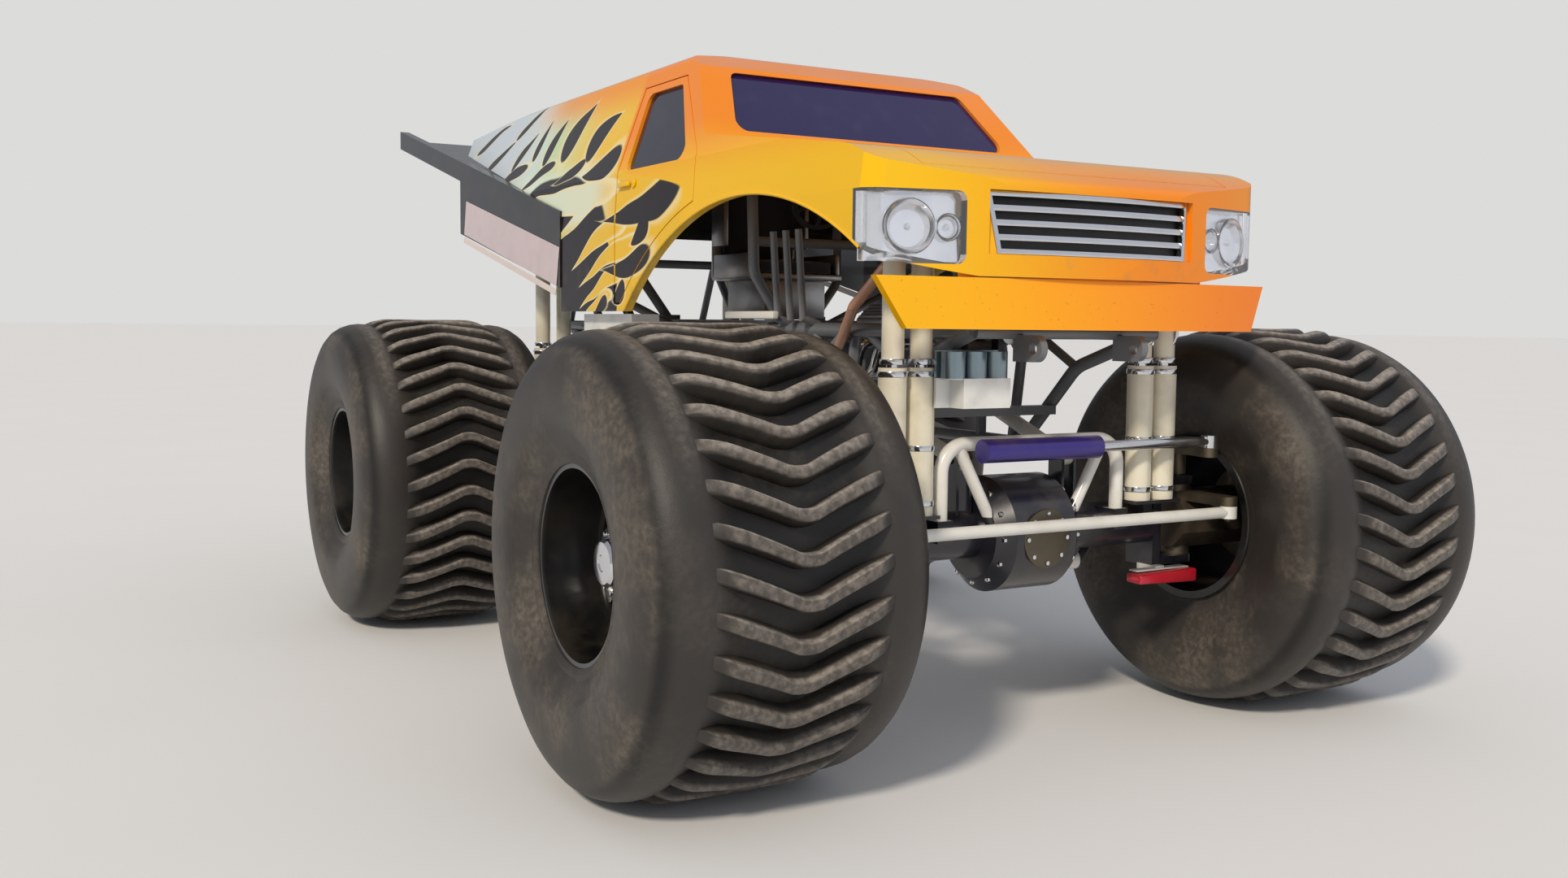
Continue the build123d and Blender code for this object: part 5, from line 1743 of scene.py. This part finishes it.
@dataclass
class Engine:
    """A supercharged V8: block, heads with ribbed covers, blower, drive belt, headers and oil pan.

    What is on a bank of cylinders has its middle in that bank's own, leaning frame.
    """

    finishes: Finishes
    case: Box = Box((0.60, 0.34, 0.22), (1.83, 0.0, 1.500), 0.020, 3)
    pan: Box = Box((0.56, 0.28, 0.080), (1.80, 0.0, 1.372), 0.022, 3, EngineFinish.POLISHED)
    bank: Place = (1.83, 0.125, 1.645)
    bank_lean: float = math.radians(42)
    head: Box = Box((0.56, 0.15, 0.13), rounding=0.010)
    cover: Box = Box((0.53, 0.120, 0.055), (0.0, 0.0, 0.090), 0.016, 3, EngineFinish.POLISHED)
    cover_rib: Box = Box((0.48, 0.006, 0.012), (0.0, -0.040, 0.121), 0.002, 1, EngineFinish.POLISHED)
    cover_ribs: int = 5
    cover_rib_step: float = 0.020
    flange: Box = Box((0.52, 0.012, 0.060), (1.83, 0.176, 1.597), 0.004, 2, EngineFinish.CHROME)
    ports: tuple[float, ...] = (1.62, 1.76, 1.90, 2.04)
    pipe_bend: tuple[Place, ...] = ((0.0, 0.165, 1.600), (-0.01, 0.235, 1.590), (-0.05, 0.236, 1.470))
    pipe_end: tuple[Place, ...] = ((1.60, 0.225, 1.420), (1.53, 0.225, 1.415))
    pipe_radius: float = 0.021
    manifold: Box = Box((0.46, 0.17, 0.075), (1.83, 0.0, 1.700), 0.012, 2, EngineFinish.POLISHED)
    blower: Box = Box((0.42, 0.22, 0.125), (1.83, 0.0, 1.800), 0.040, 4, EngineFinish.POLISHED)
    blower_rib: Box = Box((0.010, 0.226, 0.118), (1.66, 0.0, 1.802), 0.004, 1, EngineFinish.POLISHED)
    blower_ribs: int = 9
    blower_rib_step: float = 0.042
    hat: Box = Box((0.20, 0.16, 0.024), (1.83, 0.0, 1.874))
    belt_x: float = 2.160
    pulleys: tuple[Place, ...] = ((0.0, 1.490, 0.085), (0.0, 1.800, 0.070), (0.135, 1.640, 0.045))
    pulley_length: float = 0.060
    boss_length: float = 0.080
    boss_share: float = 0.35
    belt: Box = Box((0.046, 0.008, 0.305), rounding=0.002, segments=1, finish=EngineFinish.PLASTIC)
    belt_place: Span = (0.0815, 1.645)
    belt_lean: float = 0.045

    def cylinders(self, mesh: bmesh.types.BMesh, side: int) -> None:
        """Adds one bank of cylinders with its ribbed cover and its header pipes.

        Args:
            mesh: What they are added to.
            side: 1 for the truck's left, -1 for its right.
        """
        x, y, z = self.bank
        lean = Matrix.Translation((x, side * y, z)) @ Matrix.Rotation(-side * self.bank_lean, 4, "X")
        self.head.add(mesh, lean)
        self.cover.add(mesh, lean)
        for rib in range(self.cover_ribs):
            self.cover_rib.add(mesh, lean @ Matrix.Translation((0.0, self.cover_rib_step * rib, 0.0)))
        for port in self.ports:
            path = [(port + x, side * y, z) for x, y, z in self.pipe_bend]
            path += [(x, side * y, z) for x, y, z in self.pipe_end]
            merge(mesh, tube(path, self.pipe_radius, 12), finish=EngineFinish.CHROME)
        self.flange.add(mesh, side=side)

    def top(self, mesh: bmesh.types.BMesh) -> None:
        """Adds the manifold and the blower with its ribs.

        Args:
            mesh: What they are added to.
        """
        self.manifold.add(mesh)
        self.blower.add(mesh)
        for rib in range(self.blower_ribs):
            self.blower_rib.add(mesh, Matrix.Translation((self.blower_rib_step * rib, 0.0, 0.0)))
        self.hat.add(mesh)

    def drive(self, mesh: bmesh.types.BMesh) -> None:
        """Adds the pulleys and the belt on the front.

        Args:
            mesh: What they are added to.
        """
        for y, z, radius in self.pulleys:
            place = Matrix.Translation((self.belt_x, y, z)) @ Matrix.Rotation(QUARTER_TURN, 4, "Z")
            pulley = Disc(radius, self.pulley_length, 48, 0.005)
            boss = Disc(radius * self.boss_share, self.boss_length, 24, 0.004)
            merge(mesh, pulley.mesh(), place, EngineFinish.POLISHED)
            merge(mesh, boss.mesh(), place, EngineFinish.CHROME)
        for side in SIDES:
            y, z = self.belt_place
            lean = Matrix.Rotation(-side * self.belt_lean, 4, "X")
            self.belt.add(mesh, Matrix.Translation((self.belt_x, side * y, z)) @ lean)

    def build(self) -> None:
        """Makes the engine in place of its plain block."""
        mesh = bmesh.new()
        self.case.add(mesh)
        self.pan.add(mesh)
        for side in SIDES:
            self.cylinders(mesh, side)
        self.top(mesh)
        self.drive(mesh)
        kit = self.finishes
        materials = [kit.engine, kit.polished, kit.chrome, kit.plastic]
        piece = finish_piece(mesh, "engine_dress", materials, "chassis")
        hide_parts("engine")


@dataclass(frozen=True)
class Pad:
    """One crowned seat pad: its name, size, crown, middle, and whether it stands on end."""

    name: str
    size: Place
    crown: float
    middle: Place
    upright: bool = False


@dataclass
class Seat:
    """A centre race seat: a wide shell with side bolsters, a base pad, a back pad and a head pad.

    The middles are from the foot of the seat's back.
    """

    finishes: Finishes
    foot: Place = (0.165, 0.0, 1.696)
    shell: tuple[Box, ...] = (
        Box((0.50, 0.50, 0.030), (0.26, 0.0, 0.215), 0.008),
        Box((0.40, 0.36, 0.200), (0.26, 0.0, 0.100), 0.010),
        Box((0.028, 0.50, 0.545), (0.016, 0.0, 0.480), 0.010),
    )
    bolsters: tuple[Box, ...] = (
        Box((0.44, 0.028, 0.130), (0.26, 0.242, 0.270), 0.010),
        Box((0.150, 0.028, 0.330), (0.090, 0.242, 0.540), 0.010),
    )
    pads: tuple[Pad, ...] = (
        Pad("seat_pad", (0.42, 0.44, 0.060), 0.022, (0.28, 0.0, 0.262)),
        Pad("back_pad", (0.40, 0.42, 0.050), 0.016, (0.056, 0.0, 0.500), True),
        Pad("head_pad", (0.11, 0.24, 0.050), 0.012, (0.056, 0.0, 0.700), True),
    )
    pad_bevel: float = 0.12
    crown_spread: float = math.pi * 0.92
    draw: float = 0.05
    seam_y: float = 0.22
    seam_half: float = 0.03
    seam_depth: float = 0.006
    fill: float = 0.75

    def pad(self, pad: Pad, foot: Matrix) -> None:
        """Makes a crowned pad with drawn-in sides and two seams.

        Args:
            pad: What it is like.
            foot: Where the seat's back meets its foot.
        """
        mesh = bevelled_box((1.0, 1.0, 1.0), self.pad_bevel, 3)
        bmesh.ops.subdivide_edges(mesh, edges=mesh.edges, cuts=3, use_grid_fill=True)
        length, width, thickness = pad.size
        for vert in mesh.verts:
            x, y, z = vert.co
            swell = pad.crown * math.cos(x * self.crown_spread) * math.cos(y * self.crown_spread)
            pull = 1.0 - self.draw * (1.0 - abs(2 * z)) * max(abs(x), abs(y))
            seam = self.seam_depth * math.exp(-(((abs(y) - self.seam_y) / self.seam_half) ** 2))
            lift = swell - seam if z > 0 else 0.0
            vert.co = (x * length * pull, y * width * pull, z * thickness + lift)
        place = foot @ Matrix.Translation(pad.middle)
        if pad.upright:
            place = place @ Matrix.Rotation(QUARTER_TURN, 4, "Y")
        bmesh.ops.transform(mesh, matrix=place, verts=mesh.verts)
        piece = finish_piece(mesh, pad.name, [self.finishes.fabric], "chassis", 60.0)

    def build(self) -> None:
        """Makes the shell and its pads in place of the plain seat."""
        mesh = bmesh.new()
        foot = Matrix.Translation(self.foot)
        for box in self.shell:
            box.add(mesh, foot)
        for side in SIDES:
            for box in self.bolsters:
                box.add(mesh, foot, side)
        piece = finish_piece(mesh, "seat_shell", [self.finishes.polished], "chassis")
        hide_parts("seat")
        for pad in self.pads:
            self.pad(pad, foot)


@dataclass
class RunningGear:
    """What the photograph shows about the front axle and in the arches: sleeves, bands, bolts and stays."""

    finishes: Finishes
    shock_reach: float = 0.140
    shock_ys: tuple[float, ...] = (0.690, 0.560)
    sleeve_z: Span = (1.530, 1.990)
    sleeve_radius: float = 0.043
    bands: tuple[Span, ...] = (
        (1.536, 0.050),
        (1.960, 0.048),
        (1.490, 0.058),
        (1.000, 0.058),
        (1.210, 0.057),
    )
    band_height: float = 0.022
    pipe: tuple[Place, ...] = (
        (0.0, 0.030, 1.60),
        (0.0, 0.055, 1.63),
        (0.0, 0.056, 1.80),
        (0.0, 0.055, 1.92),
        (0.0, 0.030, 1.95),
    )
    pipe_radius: float = 0.009
    pipe_turn: float = math.radians(70)
    housing_bolt: Disc = Disc(0.012, 0.016, 6, 0.002)
    housing_bolts: int = 12
    housing_circle: float = 0.196
    housing_y: float = 0.186
    cover: Disc = Disc(0.118, 0.012, 40, 0.003)
    cover_reach: float = 0.230
    cover_bolt: Disc = Disc(0.010, 0.006, 6, 0.0015)
    cover_bolts: int = 8
    cover_circle: float = 0.098
    cover_lift: float = 0.0085
    rail: Box = Box((0.46, 0.030, 0.034), (1.180, 0.560, 1.712))
    strut: tuple[Place, ...] = ((1.800, 0.470, 1.585), (2.110, 0.600, 1.745), (2.400, 0.640, 1.900))
    strut_radius: float = 0.022
    post: tuple[Place, ...] = ((0.0, 0.520, 1.690), (0.02, 0.560, 2.080))
    post_radius: float = 0.016
    post_xs: tuple[float, ...] = (1.36, 1.47, 1.58)
    bracket: tuple[Place, ...] = ((0.0, 0.440, 1.672), (0.0, 0.530, 1.700))
    bracket_radius: float = 0.018
    bracket_xs: tuple[float, ...] = (1.36, 1.58)
    skid: Box = Box((0.090, 0.330, 0.060), (2.500, 0.740, 0.611), 0.012, 3)
    skid_taper: float = 0.35
    skid_arm: Box = Box((0.120, 0.050, 0.030), (2.430, 0.740, 0.640), finish=1)
    skid_plate: Box = Box((0.050, 0.300, 0.006), (2.480, 0.742, 0.642), 0.002, finish=1)

    def ends(self) -> Iterable[tuple[int, float]]:
        """The direction and the place of each axle."""
        return ((1, AXLES_MIDDLE_X + HALF_WHEELBASE), (-1, AXLES_MIDDLE_X - HALF_WHEELBASE))

    def shock(self, mesh: bmesh.types.BMesh, place: Matrix, side: int) -> None:
        """Adds one shock's upper sleeve, its bands and its bypass pipe.

        Args:
            mesh: What they are added to.
            place: The shock's own axis, at the floor.
            side: 1 for the truck's left, -1 for its right.
        """
        stand = place @ Matrix.Rotation(QUARTER_TURN, 4, "X")
        foot, top = self.sleeve_z
        sleeve = Disc(self.sleeve_radius, top - foot, 32, 0.004)
        merge(mesh, sleeve.mesh(), Matrix.Translation((0, 0, foot + (top - foot) / 2)) @ stand)
        for z, radius in self.bands:
            ring = Disc(radius, self.band_height, 32, 0.003)
            merge(mesh, ring.mesh(), Matrix.Translation((0, 0, z)) @ stand, 1)
        turned = place @ Matrix.Rotation(-side * self.pipe_turn, 4, "Z")
        merge(mesh, tube(self.pipe, self.pipe_radius, 10, 2), turned, 1)

    def shocks(self) -> None:
        """Adds the upper sleeves, bands and pipes of all shocks."""
        mesh = bmesh.new()
        for end, axle_x in self.ends():
            for side in SIDES:
                for y in self.shock_ys:
                    place = Matrix.Translation((axle_x + end * self.shock_reach, side * y, 0.0))
                    self.shock(mesh, place, side)
        piece = finish_piece(mesh, "shock_sleeves", [self.finishes.cream, self.finishes.chrome], "chassis")

    def bolts(self) -> None:
        """Adds the bolt ring of each side of the housings, and their covers with their bolts."""
        mesh = bmesh.new()
        for end, axle_x in self.ends():
            for number in range(self.housing_bolts):
                angle = number * math.tau / self.housing_bolts
                x = axle_x + self.housing_circle * math.cos(angle)
                z = AXLE_Z + self.housing_circle * math.sin(angle)
                for side in SIDES:
                    place = Matrix.Translation((x, side * self.housing_y, z))
                    merge(mesh, self.housing_bolt.mesh(), place)
            face = Matrix.Translation((axle_x + end * self.cover_reach, 0.0, AXLE_Z))
            turn = Matrix.Rotation(QUARTER_TURN, 4, "Z")
            merge(mesh, self.cover.mesh(), face @ turn, 1)
            for number in range(self.cover_bolts):
                angle = number * math.tau / self.cover_bolts
                y, z = self.cover_circle * math.cos(angle), self.cover_circle * math.sin(angle)
                spot = Matrix.Translation((end * self.cover_lift, y, z))
                merge(mesh, self.cover_bolt.mesh(), face @ spot @ turn)
        piece = finish_piece(mesh, "axle_bolts", [self.finishes.chrome, self.finishes.cast], "chassis")

    def stays(self) -> None:
        """Adds the struts that show through the right front arch, the same on the left."""
        mesh = bmesh.new()
        for side in SIDES:
            self.rail.add(mesh, side=side)
            strut = [(x, side * y, z) for x, y, z in self.strut]
            for low, high in zip(strut, strut[1:]):
                merge(mesh, tube([low, high], self.strut_radius, 16, 0), finish=1)
            for along in self.post_xs:
                post = [(along + x, side * y, z) for x, y, z in self.post]
                merge(mesh, tube(post, self.post_radius, 12, 0), finish=2)
            for along in self.bracket_xs:
                bracket = [(along + x, side * y, z) for x, y, z in self.bracket]
                merge(mesh, tube(bracket, self.bracket_radius, 12, 0), finish=2)
        kit = self.finishes
        piece = finish_piece(mesh, "arch_struts", [kit.white, kit.copper, kit.tube], "chassis")

    def guard(self) -> None:
        """Adds the red skid guard under the front axle's left yoke, thinner towards the truck's middle."""
        mesh = bmesh.new()
        skid = bevelled_box(self.skid.size, self.skid.rounding, self.skid.segments)
        for vert in skid.verts:
            inward = 0.5 - vert.co.y / self.skid.size[1]
            vert.co.z *= 1.0 - self.skid_taper * inward
        merge(mesh, skid, Matrix.Translation(self.skid.middle))
        self.skid_arm.add(mesh)
        self.skid_plate.add(mesh)
        piece = finish_piece(mesh, "axle_guard", [self.finishes.red, self.finishes.white], "chassis")

    def build(self) -> None:
        """Makes all of it."""
        self.shocks()
        self.bolts()
        self.stays()
        self.guard()


@dataclass
class PanelTrim:
    """Rolled lips on the front wheel arches and handles on the doors."""

    finishes: Finishes
    arch_x: float = 1.820
    arch_z: float = 0.500
    arch_radius: float = 1.690
    lip_y: float = 0.962
    lip_radius: float = 0.007
    lip_angles: Span = (-43.2, 31.5)
    lip_steps: int = 64
    door_y: float = 0.958
    pull: Box = Box((0.130, 0.016, 0.024), (0.665, 0.010, 2.318), 0.007, 3)
    dish: Disc = Disc(0.020, 0.008, 24, 0.002)
    dish_middle: Place = (0.760, 0.002, 2.318)

    def lip(self, side: int) -> bmesh.types.BMesh:
        """The rolled lip of one arch, about the arch's own centre.

        Args:
            side: 1 for the truck's left, -1 for its right.

        Returns:
            The lip.
        """
        lip = bmesh.new()
        middle = (0.0, side * self.lip_y, self.arch_radius)
        ring = bmesh.ops.create_circle(
            lip, cap_ends=False, segments=10, radius=self.lip_radius, matrix=Matrix.Translation(middle)
        )
        turn = Matrix.Rotation(QUARTER_TURN, 3, "Y")
        bmesh.ops.rotate(lip, cent=middle, matrix=turn, verts=ring["verts"])
        start, end = (math.radians(angle) for angle in self.lip_angles)
        back = Matrix.Rotation(start, 3, "Y")
        bmesh.ops.rotate(lip, cent=(0.0, 0.0, 0.0), matrix=back, verts=lip.verts)
        bmesh.ops.spin(
            lip,
            geom=lip.verts[:] + lip.edges[:],
            cent=(0.0, 0.0, 0.0),
            axis=(0.0, 1.0, 0.0),
            angle=end - start,
            steps=self.lip_steps,
            use_merge=False,
        )
        return lip

    def handle(self, side: int, name: str) -> None:
        """Adds the pull handle of one door.

        Args:
            side: 1 for the truck's left, -1 for its right.
            name: The side's name, as in the door's.
        """
        mesh = bmesh.new()
        face = Matrix.Translation((0.0, side * self.door_y, 0.0))
        self.pull.add(mesh, face, side)
        x, y, z = self.dish_middle
        merge(mesh, self.dish.mesh(), face @ Matrix.Translation((x, side * y, z)))
        piece = finish_piece(mesh, f"door_handle_{name}", [self.finishes.flame], f"door_{name}")

    def build(self) -> None:
        """Makes the trim."""
        mesh = bmesh.new()
        for side in SIDES:
            merge(mesh, self.lip(side), Matrix.Translation((self.arch_x, 0.0, self.arch_z)))
        piece = finish_piece(mesh, "arch_lips", [self.finishes.flame], "chassis", 60.0)
        self.handle(1, "left")
        self.handle(-1, "right")


@dataclass
class SidePlates:
    """The blank placards on the deck's skirts, with the pale stripe under each."""

    finishes: Finishes
    middle: Place = (-0.955, 0.975, 2.13)
    slope: float = math.radians(12.4)
    plate: Box = Box((1.60, 0.006, 0.205), rounding=0.002, segments=1)
    stripe: Box = Box((1.60, 0.006, 0.034), (0.0, 0.0, -0.136), 0.002, 1, 1)

    def build(self) -> None:
        """Makes both sides as one piece."""
        mesh = bmesh.new()
        x, y, z = self.middle
        for side in SIDES:
            place = Matrix.Translation((x, side * y, z)) @ Matrix.Rotation(self.slope, 4, "Y")
            self.plate.add(mesh, place)
            self.stripe.add(mesh, place)
        piece = finish_piece(mesh, "side_placards", [self.finishes.plate, self.finishes.stripe], "chassis")


@dataclass(frozen=True)
class Sun:
    """A distant soft lamp that shines from a place towards the truck's middle."""

    name: str
    place: Place
    spread: float
    power: float
    colour: str

    def build(self) -> None:
        """Makes the lamp."""
        data = bpy.data.lights.new(self.name, "SUN")
        data.angle = math.radians(self.spread)
        data.energy = self.power
        data.color = srgb(self.colour)[:3]
        lamp = bpy.data.objects.new(self.name, data)
        lamp.location = self.place
        lamp.rotation_euler = (-Vector(self.place)).to_track_quat("-Z", "Y").to_euler()
        bpy.context.scene.collection.objects.link(lamp)


@dataclass
class Studio:
    """Floor, lamps, world and the camera at the photograph's place."""

    finishes: Finishes
    eye: Place = (6.930, -3.703, 1.6715)
    yaw: float = 2.6173
    pitch: float = 0.0804
    roll: float = 0.0107
    focal_pixels: float = 1754.46
    backdrop: str = "DCDCDA"
    sky_light: str = "E6EAF2"
    sky_power: float = 0.46
    floor_size: float = 400.0
    suns: tuple[Sun, ...] = (
        Sun("key", (5.5, -7.0, 6.6), 7.0, 2.15, "FFF3E2"),
        Sun("fill", (8.0, 6.0, 4.0), 100.0, 0.45, "EEF2FF"),
    )

    def camera(self) -> None:
        """Places the camera by the sight lines worked out from the photograph."""
        ahead = Vector(
            (
                math.cos(self.yaw) * math.cos(self.pitch),
                math.sin(self.yaw) * math.cos(self.pitch),
                -math.sin(self.pitch),
            )
        )
        level = Vector((math.sin(self.yaw), -math.cos(self.yaw), 0.0))
        above = level.cross(ahead)
        right = math.cos(self.roll) * level + math.sin(self.roll) * above
        up = -math.sin(self.roll) * level + math.cos(self.roll) * above
        data = bpy.data.cameras.new("photo_camera")
        data.sensor_fit = "HORIZONTAL"
        data.sensor_width = SENSOR_WIDTH
        data.lens = self.focal_pixels / PHOTO_WIDTH * SENSOR_WIDTH
        camera = bpy.data.objects.new("photo_camera", data)
        basis = Matrix((right, up, -ahead)).transposed().to_4x4()
        camera.matrix_world = Matrix.Translation(self.eye) @ basis
        bpy.context.scene.collection.objects.link(camera)
        bpy.context.scene.camera = camera

    def sky(self) -> None:
        """A plain pale world that shows behind the truck and through its glass."""
        world = bpy.data.worlds.new("studio")
        world.use_nodes = True
        tree = world.node_tree
        tree.nodes.clear()
        path = add_node(tree, "ShaderNodeLightPath").outputs
        seen = add_node(
            tree,
            "ShaderNodeMath",
            {0: path["Is Camera Ray"], 1: path["Is Transmission Ray"]},
            operation="MAXIMUM",
        )
        plain = add_node(
            tree, "ShaderNodeBackground", {"Color": srgb(self.backdrop), "Strength": 1.0}
        )
        soft = add_node(
            tree, "ShaderNodeBackground", {"Color": srgb(self.sky_light), "Strength": self.sky_power}
        )
        mixed = add_node(
            tree,
            "ShaderNodeMixShader",
            {0: seen.outputs[0], 1: soft.outputs[0], 2: plain.outputs[0]},
        )
        add_node(tree, "ShaderNodeOutputWorld", {"Surface": mixed.outputs[0]})
        bpy.context.scene.world = world

    def floor(self) -> None:
        """A wide floor under the tyres."""
        mesh = bmesh.new()
        bmesh.ops.create_grid(mesh, x_segments=1, y_segments=1, size=self.floor_size)
        data = bpy.data.meshes.new("floor")
        mesh.to_mesh(data)
        mesh.free()
        data.materials.append(self.finishes.floor)
        floor = bpy.data.objects.new("floor", data)
        bpy.context.scene.collection.objects.link(floor)

    def build(self) -> None:
        """Sets up the whole studio."""
        self.camera()
        self.sky()
        self.floor()
        for sun in self.suns:
            sun.build()
        bpy.context.scene.view_settings.view_transform = "Standard"


def main() -> None:
    """Builds the truck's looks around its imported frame."""
    logging.basicConfig(level=logging.INFO, format="%(message)s")
    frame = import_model()
    finishes = Finishes()
    FrameFinishes(frame, finishes).build()
    Wheels(finishes).build()
    Grille(finishes).build()
    Lamps(finishes).build()
    Engine(finishes).build()
    Seat(finishes).build()
    RunningGear(finishes).build()
    PanelTrim(finishes).build()
    SidePlates(finishes).build()
    Studio(finishes).build()


if __name__ == "__main__":
    main()
